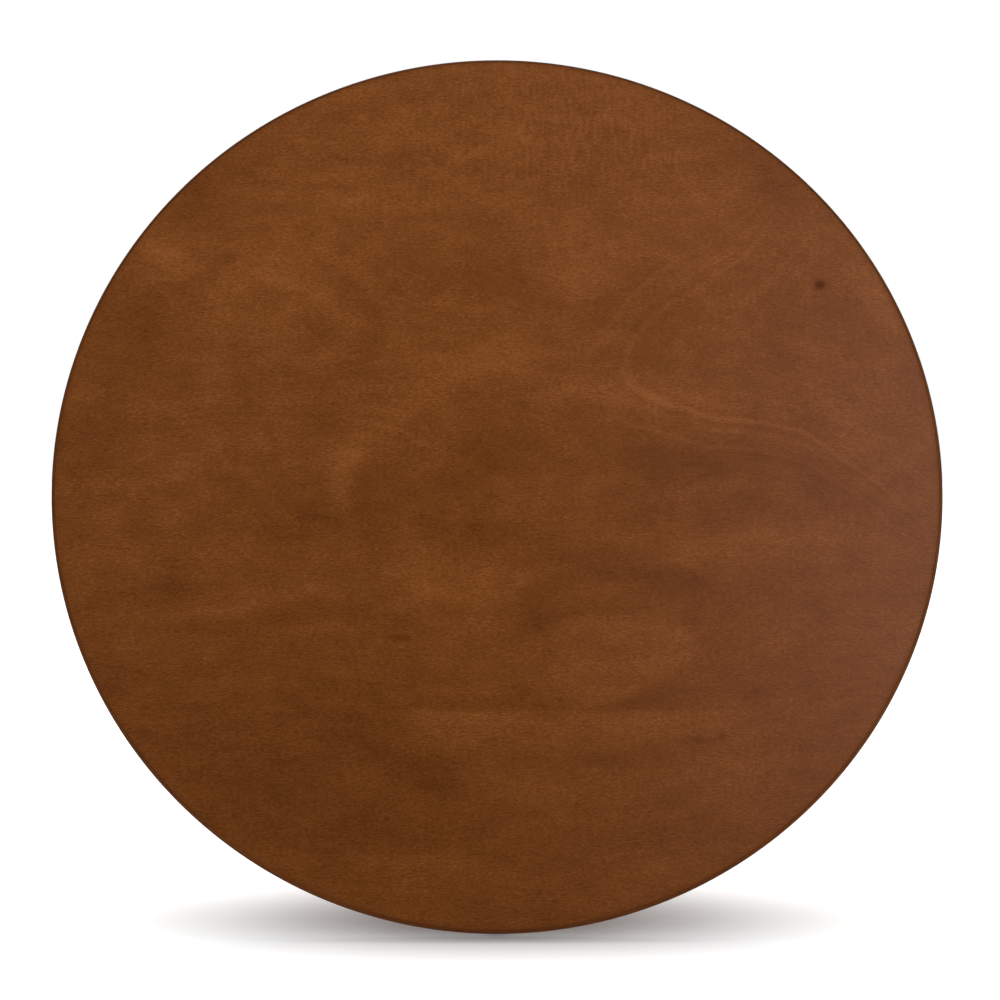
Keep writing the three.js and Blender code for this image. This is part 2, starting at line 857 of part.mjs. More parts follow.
function legGeometry(hasBuffer) {
  const profile = new THREE.ExtrudeGeometry(legShape(), {
    depth: legThickness,
    bevelEnabled: false,
    curveSegments: legCurveSegments,
  });
  profile.translate(0, 0, -legThickness / 2);
  profile.rotateX(Math.PI / 2);
  const hub = bar([0, 0, 0], [0, 0, legTopZ + overshoot], hubRadius + gap, columnSegments);
  const tongue = upFrom(dovetailShape(0), hubBottomZ, hubBottomZ + dovetailHeight);
  const stemHole = bar(
    [glideReach, 0, 0],
    [glideReach, 0, footZ + glideStemHeight + gap],
    glideStemRadius + gap,
    screwSegments,
  );
  const plateHole = screwHole(spiderScrew).translate(spiderScrewReach, 0, spiderBottomZ);
  const body = join([cut(profile, [hub]), tongue]);
  const holes = hasBuffer ? [stemHole, plateHole, bufferScrewForm(screwHole)] : [stemHole, plateHole];
  return cut(body, holes);
}

function glideGeometry() {
  const profile = [
    [0, 0],
    [glideRadius - glideRounding, 0],
    [glideRadius, glideRounding],
    [glideRadius, glideHeight],
    [glideStemRadius, glideHeight],
    [glideStemRadius, footZ + glideStemHeight],
    [0, footZ + glideStemHeight],
  ];
  return turned(profile, footSegments);
}

const legAngles = { right: 0, back: 90, left: 180, front: 270 };
for (const [legName, degrees] of Object.entries(legAngles)) {
  const angle = THREE.MathUtils.degToRad(degrees);
  const glide = glideGeometry().translate(glideReach, 0, 0);
  const plateScrew = screwBody(spiderScrew).translate(spiderScrewReach, 0, spiderBottomZ);
  addToBase(`leg_${legName}`, legGeometry(legName === 'front').rotateZ(angle), stainedWood);
  addToBase(`glide_${legName}`, glide.rotateZ(angle), glidePlastic);
  addToBase(`spider_screw_${legName}`, plateScrew.rotateZ(angle), steel);
}

// Toe buffer: a rubber stop on the front foot that the tilted top leans on

function toeBufferGeometry() {
  const profile = [
    [bufferScrew.shank + gap, 0],
    [bufferRadius, 0],
    [bufferRadius, bufferFlangeHeight],
    [bufferTipRadius, bufferLength - bufferRounding],
    [bufferTipRadius - bufferRounding, bufferLength],
    [bufferRecessRadius, bufferLength],
    [bufferRecessRadius, bufferLength - bufferRecessDepth],
    [bufferScrew.shank + gap, bufferLength - bufferRecessDepth - bufferScrew.cone],
    [bufferScrew.shank + gap, 0],
  ];
  return onToe(turned(profile, footSegments), gap);
}

const frontAngle = THREE.MathUtils.degToRad(legAngles.front);
addToBase('toe_buffer', toeBufferGeometry().rotateZ(frontAngle), rubber);
addToBase('toe_buffer_screw', bufferScrewForm(screwBody).rotateZ(frontAngle), steel);

// Spider plate and tie rod: they clamp the legs, the column and the head together

function spiderGeometry() {
  const half = spiderArmWidth / 2;
  const shape = new THREE.Shape();
  shape.moveTo(spiderReach - half, -half);
  for (let i = 0; i < 4; i += 1) {
    const turn = (i * Math.PI) / 2;
    const tip = [(spiderReach - half) * Math.cos(turn), (spiderReach - half) * Math.sin(turn)];
    const crotch = [half * (Math.cos(turn) - Math.sin(turn)), half * (Math.sin(turn) + Math.cos(turn))];
    shape.absarc(...tip, half, turn - Math.PI / 2, turn + Math.PI / 2, false);
    shape.lineTo(...crotch);
  }
  shape.closePath();
  const rodHole = bar([0, 0, spiderBottomZ - overshoot], [0, 0, spiderTopZ + overshoot], rodRadius + gap);
  const holes = [];
  for (let i = 0; i < 4; i += 1) {
    const hole = screwHole(spiderScrew).translate(spiderScrewReach, 0, spiderBottomZ);
    holes.push(hole.rotateZ((i * Math.PI) / 2));
  }
  return cut(upFrom(shape, spiderBottomZ, spiderTopZ), [rodHole, ...holes]);
}

function nutGeometry(bottomZ) {
  const hexagon = new THREE.CylinderGeometry(nutRadius, nutRadius, nutHeight, 6).rotateX(Math.PI / 2);
  hexagon.translate(0, 0, bottomZ + nutHeight / 2);
  const bore = bar([0, 0, bottomZ - overshoot], [0, 0, bottomZ + nutHeight + overshoot], rodRadius + gap);
  return cut(hexagon, [bore]);
}

const upperWasherZ = boardTopZ + gap;
const upperNutZ = upperWasherZ + plateWasherThickness + gap;
const lowerWasherZ = spiderBottomZ - gap - washerThickness;
const lowerNutZ = lowerWasherZ - gap - nutHeight;
const rodBottomZ = lowerNutZ - rodTail;
const rodTopZ = upperNutZ + nutHeight + rodTail;
const rodBore = rodRadius + gap;

addToBase('spider_plate', spiderGeometry(), steel);
addToBase('tie_rod', bar([0, 0, rodBottomZ], [0, 0, rodTopZ], rodRadius), steel);
addToBase(
  'tie_rod_washer_upper',
  ring(rodBore, plateWasherRadius, upperWasherZ, upperWasherZ + plateWasherThickness),
  steel,
);
addToBase(
  'tie_rod_washer_lower',
  ring(rodBore, washerRadius, lowerWasherZ, lowerWasherZ + washerThickness),
  steel,
);
addToBase('tie_rod_nut_upper', nutGeometry(upperNutZ), steel);
addToBase('tie_rod_nut_lower', nutGeometry(lowerNutZ), steel);

// ---- Whole table, moved so that its origin is on the floor under the middle of its box ----

const table = new THREE.Group();
table.name = 'tilt_top_table';
table.add(base, top);
table.updateMatrixWorld(true);
const extent = new THREE.Box3().setFromObject(table, true);
table.position.set(0, -(extent.min.y + extent.max.y) / 2, -extent.min.z);

export default table;
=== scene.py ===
import json
from math import atan2, cos, pi, radians, sin

import bmesh
import bpy
import numpy as np
from mathutils import Matrix, Vector


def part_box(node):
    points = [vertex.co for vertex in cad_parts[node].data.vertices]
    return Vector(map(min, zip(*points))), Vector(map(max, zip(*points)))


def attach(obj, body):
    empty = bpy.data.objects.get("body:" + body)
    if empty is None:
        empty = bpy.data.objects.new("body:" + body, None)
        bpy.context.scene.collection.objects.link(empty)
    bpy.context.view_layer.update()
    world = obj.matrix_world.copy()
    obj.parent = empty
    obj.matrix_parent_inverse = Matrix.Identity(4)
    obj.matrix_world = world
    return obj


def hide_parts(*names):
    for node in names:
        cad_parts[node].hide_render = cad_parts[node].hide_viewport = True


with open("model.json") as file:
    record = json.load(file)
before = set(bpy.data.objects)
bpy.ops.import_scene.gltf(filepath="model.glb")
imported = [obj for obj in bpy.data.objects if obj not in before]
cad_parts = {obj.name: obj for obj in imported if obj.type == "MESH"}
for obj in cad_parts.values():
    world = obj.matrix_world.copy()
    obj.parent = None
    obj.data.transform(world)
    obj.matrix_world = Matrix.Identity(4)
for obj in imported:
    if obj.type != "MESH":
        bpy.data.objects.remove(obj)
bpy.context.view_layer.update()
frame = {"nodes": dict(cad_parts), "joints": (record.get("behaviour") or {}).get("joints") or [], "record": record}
scene = bpy.context.scene
print("frame loaded:", len(frame["nodes"]), "nodes")

# The top's pieces are made level, with the pivot at the origin, and then turned to where the frame stores them
tiltJoint = next(j for j in frame["joints"] if j["name"] == "top_tilt")
tiltAngle = radians(tiltJoint["range_deg"][1])
restFromLevel = Matrix.Translation(Vector(tiltJoint["pos_m"])) @ Matrix.Rotation(tiltAngle, 4, "X")


def levelBox(node):
    back = restFromLevel.inverted()
    points = np.array([back @ v.co for v in frame["nodes"][node].data.vertices])
    return Vector(points.min(0)), Vector(points.max(0))


rimLow, rimHigh = levelBox("edge_lipping")
faceLow, faceHigh = levelBox("face_veneer")
backLow, backHigh = levelBox("backing_veneer")
topRadius = rimHigh.x
discMiddle = (rimLow + rimHigh) / 2
faceCentre = restFromLevel @ Vector((0, discMiddle.y, rimHigh.z))


# ---- node helpers ----

def addNode(tree, kind, inputs=None, **settings):
    node = tree.nodes.new(kind)
    for name, value in settings.items():
        setattr(node, name, value)
    for key, value in (inputs or {}).items():
        if isinstance(value, bpy.types.NodeSocket):
            tree.links.new(value, node.inputs[key])
        else:
            node.inputs[key].default_value = value
    return node


def calc(tree, operation, *values, clamp=False):
    node = addNode(tree, "ShaderNodeMath", dict(enumerate(values)), operation=operation, use_clamp=clamp)
    return node.outputs[0]


def addUp(tree, values):
    total = values[0]
    for value in values[1:]:
        total = calc(tree, "ADD", total, value)
    return total


def calcVector(tree, operation, *values):
    node = addNode(tree, "ShaderNodeVectorMath", dict(enumerate(values)), operation=operation)
    return node.outputs["Value" if operation in ("LENGTH", "DOT_PRODUCT", "DISTANCE") else "Vector"]


def noiseAt(tree, vector, scale=1.0, detail=1.0, roughness=0.5):
    inputs = {"Vector": vector, "Scale": scale, "Detail": detail, "Roughness": roughness}
    return addNode(tree, "ShaderNodeTexNoise", inputs).outputs["Fac"]


def noiseAlong(tree, value, detail=1.0, roughness=0.5):
    inputs = {"W": value, "Scale": 1.0, "Detail": detail, "Roughness": roughness}
    return addNode(tree, "ShaderNodeTexNoise", inputs, noise_dimensions="1D").outputs["Fac"]


# A noise of mean zero, times a strength
def swing(tree, noiseValue, strength):
    return calc(tree, "MULTIPLY", calc(tree, "SUBTRACT", noiseValue, 0.5), strength)


def ramp(tree, value, low, high, toLow=0.0, toHigh=1.0, smooth=True):
    kind = "SMOOTHSTEP" if smooth else "LINEAR"
    inputs = {"Value": value, "From Min": low, "From Max": high, "To Min": toLow, "To Max": toHigh}
    return addNode(tree, "ShaderNodeMapRange", inputs, interpolation_type=kind).outputs["Result"]


def mixColour(tree, factor, first, second, blend="MIX"):
    node = addNode(tree, "ShaderNodeMix", {0: factor, 6: first, 7: second}, data_type="RGBA", blend_type=blend)
    return node.outputs[2]


def toneColour(tree, tone, stops):
    node = tree.nodes.new("ShaderNodeValToRGB")
    tree.links.new(tone, node.inputs[0])
    elements = node.color_ramp.elements
    while len(elements) < len(stops):
        elements.new(0.5)
    for element, (place, colour) in zip(elements, stops):
        element.position = place
        element.color = colour
    return node.outputs[0]


# A display colour, 0 to 255, as the linear colour that a shader takes
def shade(red, green, blue):
    values = [(v / 255 / 12.92) if v <= 10 else ((v / 255 + 0.055) / 1.055) ** 2.4 for v in (red, green, blue)]
    return (*values, 1.0)


def newGroup(name, inputs, outputs):
    group = bpy.data.node_groups.new(name, "ShaderNodeTree")
    for label, kind, value in inputs:
        socket = group.interface.new_socket(label, in_out="INPUT", socket_type=kind)
        if value is not None:
            socket.default_value = value
    for label, kind in outputs:
        group.interface.new_socket(label, in_out="OUTPUT", socket_type=kind)
    return group, group.nodes.new("NodeGroupInput").outputs, group.nodes.new("NodeGroupOutput").inputs


def useGroup(tree, group, inputs):
    node = tree.nodes.new("ShaderNodeGroup")
    node.node_tree = group
    for key, value in inputs.items():
        if isinstance(value, bpy.types.NodeSocket):
            tree.links.new(value, node.inputs[key])
        else:
            node.inputs[key].default_value = value
    return node.outputs


def newMaterial(name):
    material = bpy.data.materials.new(name)
    material.use_nodes = True
    tree = material.node_tree
    return material, tree, tree.nodes["Principled BSDF"]


def connect(tree, shader, inputs):
    for key, value in inputs.items():
        if isinstance(value, bpy.types.NodeSocket):
            tree.links.new(value, shader.inputs[key])
        else:
            shader.inputs[key].default_value = value


def bumpFrom(tree, height, distance, strength=1.0):
    inputs = {"Height": height, "Distance": distance, "Strength": strength}
    return addNode(tree, "ShaderNodeBump", inputs).outputs["Normal"]


# ---- shared effects ----

# Grain along X: growth rings, streaks, pores and soft clouds of stain, as a tone around zero
def makeWoodGrain():
    group, given, result = newGroup("woodGrain", [
        ("Vector", "NodeSocketVector", None),
        ("Ring Spacing", "NodeSocketFloat", 0.006),
        ("Ring Strength", "NodeSocketFloat", 0.5),
        ("Streak Length", "NodeSocketFloat", 0.03),
        ("Streak Width", "NodeSocketFloat", 0.002),
        ("Streak Strength", "NodeSocketFloat", 0.5),
        ("Pore Strength", "NodeSocketFloat", 0.3),
        ("Cloud Strength", "NodeSocketFloat", 0.4),
    ], [("Tone", "NodeSocketFloat"), ("Pores", "NodeSocketFloat"), ("Height", "NodeSocketFloat")])
    place = given["Vector"]
    warpPlace = calcVector(group, "MULTIPLY", place, (2.2, 9.0, 9.0))
    warp = addNode(group, "ShaderNodeTexNoise", {"Vector": warpPlace, "Scale": 1.0, "Detail": 2.0}).outputs["Color"]
    bent = calcVector(group, "ADD", place, calcVector(group, "MULTIPLY", warp, (0.0, 0.026, 0.026)))
    fromPith = calcVector(group, "MULTIPLY", calcVector(group, "ADD", bent, (0.0, 0.045, -0.075)), (0.0, 1.0, 1.0))
    ringPlace = calc(group, "DIVIDE", calcVector(group, "LENGTH", fromPith), given["Ring Spacing"])
    rings = swing(group, noiseAlong(group, ringPlace, 2.0, 0.6), given["Ring Strength"])
    size = addNode(group, "ShaderNodeCombineXYZ",
                   {0: given["Streak Length"], 1: given["Streak Width"], 2: given["Streak Width"]}).outputs[0]
    streaks = swing(group, noiseAt(group, calcVector(group, "DIVIDE", bent, size), 1.0, 2.0), given["Streak Strength"])
    clouds = swing(group, noiseAt(group, calcVector(group, "MULTIPLY", place, (4.0, 13.0, 13.0)), 1.0, 2.0),
                   given["Cloud Strength"])
    porePlace = calcVector(group, "MULTIPLY", bent, (75.0, 1250.0, 1250.0))
    pores = ramp(group, noiseAt(group, porePlace, 1.0, 0.0), 0.62, 0.74)
    poreTone = calc(group, "MULTIPLY", pores, given["Pore Strength"])
    tone = calc(group, "SUBTRACT", addUp(group, [rings, streaks, clouds]), poreTone)
    group.links.new(tone, result["Tone"])
    group.links.new(pores, result["Pores"])
    group.links.new(calc(group, "SUBTRACT", streaks, pores), result["Height"])
    return group


# Worn metal: hairline scratches, dull blotches and specks
def makeMetalWear():
    group, given, result = newGroup("metalWear", [
        ("Vector", "NodeSocketVector", None),
        ("Fresh", "NodeSocketColor", (0.7, 0.7, 0.7, 1)),
        ("Dull", "NodeSocketColor", (0.3, 0.3, 0.3, 1)),
        ("Dullness", "NodeSocketFloat", 0.5),
        ("Smoothness", "NodeSocketFloat", 0.3),
    ], [("Color", "NodeSocketColor"), ("Roughness", "NodeSocketFloat"), ("Height", "NodeSocketFloat")])
    place = given["Vector"]
    blotches = noiseAt(group, place, 95.0, 3.0, 0.6)
    specks = noiseAt(group, place, 900.0, 1.0)
    hairlines = noiseAt(group, calcVector(group, "MULTIPLY", place, (160.0, 2400.0, 900.0)), 1.0, 1.0)
    dull = calc(group, "MULTIPLY", ramp(group, blotches, 0.38, 0.66), given["Dullness"])
    dull = calc(group, "ADD", dull, swing(group, specks, 0.25), clamp=True)
    group.links.new(mixColour(group, dull, given["Fresh"], given["Dull"]), result["Color"])
    rough = addUp(group, [given["Smoothness"], calc(group, "MULTIPLY", dull, 0.22), swing(group, hairlines, 0.16)])
    group.links.new(rough, result["Roughness"])
    group.links.new(calc(group, "ADD", hairlines, specks), result["Height"])
    return group


woodGrain = makeWoodGrain()
metalWear = makeMetalWear()


# ---- materials ----

# Places on the round face are shares of its outline as seen by the camera, across and up
faceFigure = {
    "knotPlace": (0.722, 0.487),
    "knotSize": (0.0115, 0.0095),
    "dark": shade(82, 41, 7),
    "middle": shade(106, 58, 19),
    "light": shade(131, 77, 36),
    "knot": shade(72, 36, 20),
    "halo": shade(92, 46, 22),
    # painted sheen: a pale cool tint that stands for a light on the right reflecting in the lacquer
    "paintedSheen": shade(120, 82, 72),
    "threads": [(0.0, 0.17), (-0.024, 0.06), (-0.062, 0.13), (0.05, 0.05)],
    "threadWidth": 0.009,
    "sharpBand": {"edge": -0.486, "softness": 0.007, "depth": 0.10, "from": -0.24, "to": 0.68, "strength": 0.15},
    "marks": [(-0.218, -0.322, 0.036, 0.011, 0.3), (0.142, -0.459, 0.009, 0.007, 0.3),
              (0.456, -0.552, 0.045, 0.013, 0.22), (0.505, -0.545, 0.018, 0.012, 0.2), (0.18, -0.705, 0.010, 0.008, 0.3),
              (-0.16, -0.66, 0.05, 0.02, 0.12), (-0.41, -0.045, 0.05, 0.012, 0.12)],
}
# The floor glows outside an oval round the contact, so the oval is a painted shadow; it glows a little more further out
studio = {
    "cameraDistance": 1.8, "cameraElevation": 3.2, "lens": 56.55, "aimUp": -0.0287, "aimRight": 0.0031,
    "floorSize": 16.0, "ambient": 0.34, "contact": (0.0, -0.208), "paintedShadowReach": (0.56, 0.17),
    "glowFrom": 0.08, "glowTo": 1.05, "glow": 0.85, "farFrom": 0.6, "farTo": 1.6, "farGlow": 0.15,
}
seenTilt = radians(90 - studio["cameraElevation"]) - tiltAngle
seenReach = topRadius / studio["cameraDistance"]
seenTop = cos(seenTilt) / (1 + seenReach * sin(seenTilt))
seenBottom = -cos(seenTilt) / (1 - seenReach * sin(seenTilt))


# From a share of the tilted disc to a share of its outline as seen, and back
def seenFromDisc(x, v):
    depth = 1 + seenReach * sin(seenTilt) * v
    return x / depth, (2 * v * cos(seenTilt) / depth - seenTop - seenBottom) / (seenTop - seenBottom)


def discFromSeen(x, v):
    rise = (v * (seenTop - seenBottom) + seenTop + seenBottom) / 2
    discV = rise / (cos(seenTilt) - rise * seenReach * sin(seenTilt))
    return x * (1 + seenReach * sin(seenTilt) * discV), discV


# Coordinates across the level face in metres, from the disc's centre
def discPlace(tree):
    centre = restFromLevel @ discMiddle
    source = addNode(tree, "ShaderNodeTexCoord").outputs["Object"]
    inputs = {"Vector": source, "Location": centre, "Rotation": (tiltAngle, 0, 0)}
    return addNode(tree, "ShaderNodeMapping", inputs, vector_type="TEXTURE").outputs[0]


def readField(tree, name):
    return addNode(tree, "ShaderNodeAttribute", attribute_name=name).outputs["Fac"]


def makeFaceMaterial():
    material, tree, shader = newMaterial("stainedFaceVeneer")
    figure = faceFigure
    place = discPlace(tree)
    share = calcVector(tree, "MULTIPLY", place, (1 / topRadius, 1 / topRadius, 0.0))
    grain = useGroup(tree, woodGrain, {
        "Vector": place, "Ring Spacing": 0.05, "Ring Strength": 0.0, "Streak Length": 0.0042,
        "Streak Width": 0.0013, "Streak Strength": 1.28, "Pore Strength": 0.2, "Cloud Strength": 0.1,
    })
    ringHeight = readField(tree, "ringHeight")
    broad = swing(tree, noiseAlong(tree, calc(tree, "MULTIPLY", ringHeight, 11.0), 2.0), 0.18)
    fine = swing(tree, noiseAlong(tree, calc(tree, "MULTIPLY", ringHeight, 70.0), 1.0), 0.2)
    fade = ramp(tree, noiseAt(tree, share, 3.2, 2.0), 0.46, 0.66, 0.1, 1.0)
    fine = calc(tree, "MULTIPLY", fine, fade)
    seen = addNode(tree, "ShaderNodeAttribute", attribute_name="seenPlace").outputs["Vector"]
    shake = addNode(tree, "ShaderNodeTexNoise", {"Vector": share, "Scale": 24.0, "Detail": 3.0}).outputs["Color"]
    shake = calcVector(tree, "MULTIPLY", calcVector(tree, "SUBTRACT", shake, (0.5, 0.5, 0.5)), (0.03, 0.018, 0.0))
    loose = calcVector(tree, "ADD", seen, shake)
    looseAxes = addNode(tree, "ShaderNodeSeparateXYZ", {0: loose}).outputs
    inTongue = calc(tree, "ADD", readField(tree, "tongueDepth"), swing(tree, noiseAt(tree, share, 11.0, 4.0), 0.03))
    thread = 0.0
    for level, strength in figure["threads"]:
        off = calc(tree, "ABSOLUTE", calc(tree, "SUBTRACT", inTongue, level))
        bright = ramp(tree, off, 0.0, figure["threadWidth"], strength, 0.0)
        dark = ramp(tree, off, figure["threadWidth"], figure["threadWidth"] * 3, -strength * 0.35, 0.0)
        thread = addUp(tree, [thread, bright, calc(tree, "MULTIPLY", dark, ramp(tree, bright, 0.0, 0.001, 1.0, 0.0))])
    thread = calc(tree, "MULTIPLY", thread, readField(tree, "threadMask"))
    band = figure["sharpBand"]
    sharpBand = addUp(tree, [
        ramp(tree, looseAxes[1], band["edge"] - band["softness"], band["edge"] + band["softness"], 1.0, 0.0),
        ramp(tree, looseAxes[1], band["edge"] - band["depth"], band["edge"] - band["depth"] / 4, -1.0, 0.0),
    ])
    sharpBand = calc(tree, "MULTIPLY", sharpBand, ramp(tree, looseAxes[0], band["from"], band["from"] + 0.1))
    sharpBand = calc(tree, "MULTIPLY", sharpBand, ramp(tree, looseAxes[0], band["to"] - 0.2, band["to"], 1.0, 0.0))
    sharpBand = calc(tree, "MULTIPLY", sharpBand, band["strength"])
    marks = 0.0
    for x, v, width, height, strength in figure["marks"]:
        off = calcVector(tree, "DIVIDE", calcVector(tree, "SUBTRACT", loose, (x, v, 0.0)), (width, height, 1.0))
        marks = calc(tree, "ADD", marks, ramp(tree, calcVector(tree, "LENGTH", off), 0.3, 1.2, -strength, 0.0))
    ripplePlace = calcVector(tree, "MULTIPLY", place, (210.0, 45.0, 0.0))
    rippleMask = calc(tree, "ADD", readField(tree, "rippleMask"), ramp(tree, noiseAt(tree, share, 4.0, 2.0), 0.5, 0.7, 0.1, 0.6))
    ripple = calc(tree, "MULTIPLY", swing(tree, noiseAt(tree, ripplePlace, 1.0, 1.0), 0.5), rippleMask)
    mottle = swing(tree, noiseAt(tree, calcVector(tree, "MULTIPLY", place, (26.0, 48.0, 0.0)), 1.0, 2.0), 0.4)
    patches = swing(tree, noiseAt(tree, calcVector(tree, "MULTIPLY", place, (13.0, 19.0, 0.0)), 1.0, 2.0, 0.6), 0.34)
    broken = ramp(tree, noiseAt(tree, share, 8.0, 3.0, 0.6), 0.32, 0.58, 0.45, 1.15)
    edges = calc(tree, "MULTIPLY", readField(tree, "stainEdge"), broken)
    # the stain clouds' field also carries the drift, which is partly painted light
    tone = addUp(tree, [grain["Tone"], readField(tree, "stainCloud"), edges, broad, fine, thread, sharpBand, marks, ripple,
                        mottle, patches])
    tone = calc(tree, "ADD", tone, 0.5, clamp=True)
    colour = toneColour(tree, tone, [(0.0, figure["dark"]), (0.5, figure["middle"]), (1.0, figure["light"])])
    # painted sheen: the pale cool tint laid over the face, strongest at the right
    colour = mixColour(tree, readField(tree, "hazeMask"), colour, figure["paintedSheen"])
    wobble = addNode(tree, "ShaderNodeTexNoise", {"Vector": place, "Scale": 240.0, "Detail": 1.0}).outputs["Color"]
    bent = calcVector(tree, "ADD", share, calcVector(tree, "MULTIPLY", wobble, (0.006, 0.006, 0.0)))
    knotX, knotV = discFromSeen(*figure["knotPlace"])
    offset = calcVector(tree, "SUBTRACT", bent, (knotX + 0.003, knotV + 0.003, 0))
    away = calcVector(tree, "LENGTH", calcVector(tree, "DIVIDE", offset, (*figure["knotSize"], 1.0)))
    colour = mixColour(tree, ramp(tree, away, 0.8, 2.8, 0.6, 0.0), colour, figure["halo"])
    colour = mixColour(tree, ramp(tree, away, 0.35, 1.5, 0.9, 0.0), colour, figure["knot"])
    # darker in a thin ring at the face's rim: partly stain gathered at the edge, partly painted shade beside the
    # rounded edge
    edge = ramp(tree, calcVector(tree, "LENGTH", share), 0.978, 0.992, 0.0, 0.3)
    colour = mixColour(tree, edge, colour, figure["dark"])
    rough = calc(tree, "ADD", 0.46, swing(tree, noiseAt(tree, share, 9.0, 3.0), 0.1))
    connect(tree, shader, {
        "Base Color": colour, "Roughness": rough, "Specular IOR Level": 0.06,
        "Normal": bumpFrom(tree, grain["Height"], 0.00005, 0.35),
    })
    return material


def makeVeneerMaterial():
    material, tree, shader = newMaterial("stainedBackingVeneer")
    grain = useGroup(tree, woodGrain, {
        "Vector": discPlace(tree), "Ring Spacing": 0.011, "Ring Strength": 0.55, "Streak Length": 0.011,
        "Streak Width": 0.0022, "Streak Strength": 0.5, "Pore Strength": 0.2, "Cloud Strength": 0.65,
    })
    tone = calc(tree, "ADD", grain["Tone"], 0.5, clamp=True)
    colour = toneColour(tree, tone, [(0.0, shade(66, 36, 19)), (0.5, shade(94, 55, 31)), (1.0, shade(121, 78, 49))])
    rough = calc(tree, "ADD", 0.58, swing(tree, grain["Tone"], 0.1))
    connect(tree, shader, {
        "Base Color": colour, "Roughness": rough, "Specular IOR Level": 0.25,
        "Normal": bumpFrom(tree, grain["Height"], 0.00008, 0.5),
    })
    return material


# Solid wood reads where it lies in its own plank, and how near a rounded edge it is
def makeSolidWood(name, stops, ringStrength, wearStrength, roughness, sheen):
    material, tree, shader = newMaterial(name)
    place = addNode(tree, "ShaderNodeAttribute", attribute_name="grainPlace").outputs["Vector"]
    grain = useGroup(tree, woodGrain, {
        "Vector": place, "Ring Spacing": 0.0042, "Ring Strength": ringStrength, "Streak Length": 0.034,
        "Streak Width": 0.0021, "Streak Strength": 0.55, "Pore Strength": 0.3, "Cloud Strength": 0.4,
    })
    tone = calc(tree, "ADD", grain["Tone"], 0.5, clamp=True)
    colour = toneColour(tree, tone, [(0.0, stops[0]), (0.5, stops[1]), (1.0, stops[2])])
    rubbed = ramp(tree, noiseAt(tree, place, 60.0, 3.0, 0.6), 0.42, 0.68, 0.25, 1.0)
    wear = calc(tree, "MULTIPLY", calc(tree, "MULTIPLY", readField(tree, "edgeMask"), rubbed), wearStrength)
    colour = mixColour(tree, wear, colour, stops[3])
    rough = calc(tree, "ADD", roughness, swing(tree, noiseAt(tree, place, 22.0, 3.0), 0.14))
    connect(tree, shader, {
        "Base Color": colour, "Roughness": rough, "Specular IOR Level": sheen,
        "Normal": bumpFrom(tree, grain["Height"], 0.0001, 0.5),
    })
    return material


def makeMetal(name, fresh, dull, dullness, smoothness):
    material, tree, shader = newMaterial(name)
    source = addNode(tree, "ShaderNodeTexCoord").outputs["Object"]
    wear = useGroup(tree, metalWear, {
        "Vector": source, "Fresh": fresh, "Dull": dull, "Dullness": dullness, "Smoothness": smoothness,
    })
    connect(tree, shader, {
        "Base Color": wear["Color"], "Roughness": wear["Roughness"], "Metallic": 1.0,
        "Normal": bumpFrom(tree, wear["Height"], 0.00002, 0.5),
    })
    return material


def makeMatte(name, low, high, roughness, grainSize):
    material, tree, shader = newMaterial(name)
    source = addNode(tree, "ShaderNodeTexCoord").outputs["Object"]
    grain = noiseAt(tree, source, 1 / grainSize, 3.0, 0.6)
    scuffs = noiseAt(tree, source, 60.0, 3.0, 0.65)
    colour = mixColour(tree, ramp(tree, scuffs, 0.35, 0.7), low, high)
    connect(tree, shader, {
        "Base Color": colour, "Roughness": calc(tree, "ADD", roughness, swing(tree, grain, 0.2)),
        "Specular IOR Level": 0.3, "Normal": bumpFrom(tree, grain, 0.0002, 0.5),
    })
    return material


solidStops = [shade(61, 31, 14), shade(96, 54, 28), shade(126, 79, 45), shade(146, 98, 62)]
rimStops = [shade(58, 28, 8), shade(84, 44, 16), shade(104, 60, 27), shade(112, 66, 32)]
looks = {
    "face_veneer": makeFaceMaterial(),
    "backing_veneer": makeVeneerMaterial(),
    "edge_lipping": makeSolidWood("stainedLipping", rimStops, 0.25, 0.25, 0.5, 0.04),
    "stained_solid_wood": makeSolidWood("stainedSolidWood", solidStops, 0.5, 0.5, 0.44, 0.3),
    "brass": makeMetal("satinBrass", shade(214, 172, 98), shade(122, 88, 46), 0.75, 0.26),
    "zinc_steel": makeMetal("zincPlatedSteel", shade(198, 200, 204), shade(116, 117, 121), 0.7, 0.3),
    "rubber": makeMatte("blackRubber", shade(24, 23, 23), shade(44, 42, 41), 0.78, 0.0006),
    "glide_plastic": makeMatte("brownPlastic", shade(38, 32, 27), shade(60, 52, 45), 0.5, 0.0005),
    "panel_core": makeMatte("rawPanelCore", shade(150, 118, 78), shade(184, 150, 106), 0.85, 0.0012),
}
print("materials made:", len(looks))


# ---- making pieces ----

slotOfNode = {s["node"]: s["material_slot"] for s in frame["record"]["subparts"]}
bodyOfNode = {n: body for body, nodes in frame["record"]["behaviour"]["bodies"].items() for n in nodes}


# A finished piece rides on its nodes' body and takes their slot's finish
def finishPiece(piece, nodes, smoothAngle=35):
    mesh = piece.data
    slotName = slotOfNode[nodes[0]]
    mesh.materials.clear()
    mesh.materials.append(looks[slotName])
    mesh.polygons.foreach_set("use_smooth", [True] * len(mesh.polygons))
    mesh.polygons.foreach_set("material_index", [0] * len(mesh.polygons))
    mesh.set_sharp_from_angle(angle=radians(smoothAngle))
    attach(piece, bodyOfNode[nodes[0]])
    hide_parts(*nodes)
    return piece


def newPiece(name, mesh):
    piece = bpy.data.objects.new(name, mesh)
    scene.collection.objects.link(piece)
    return piece


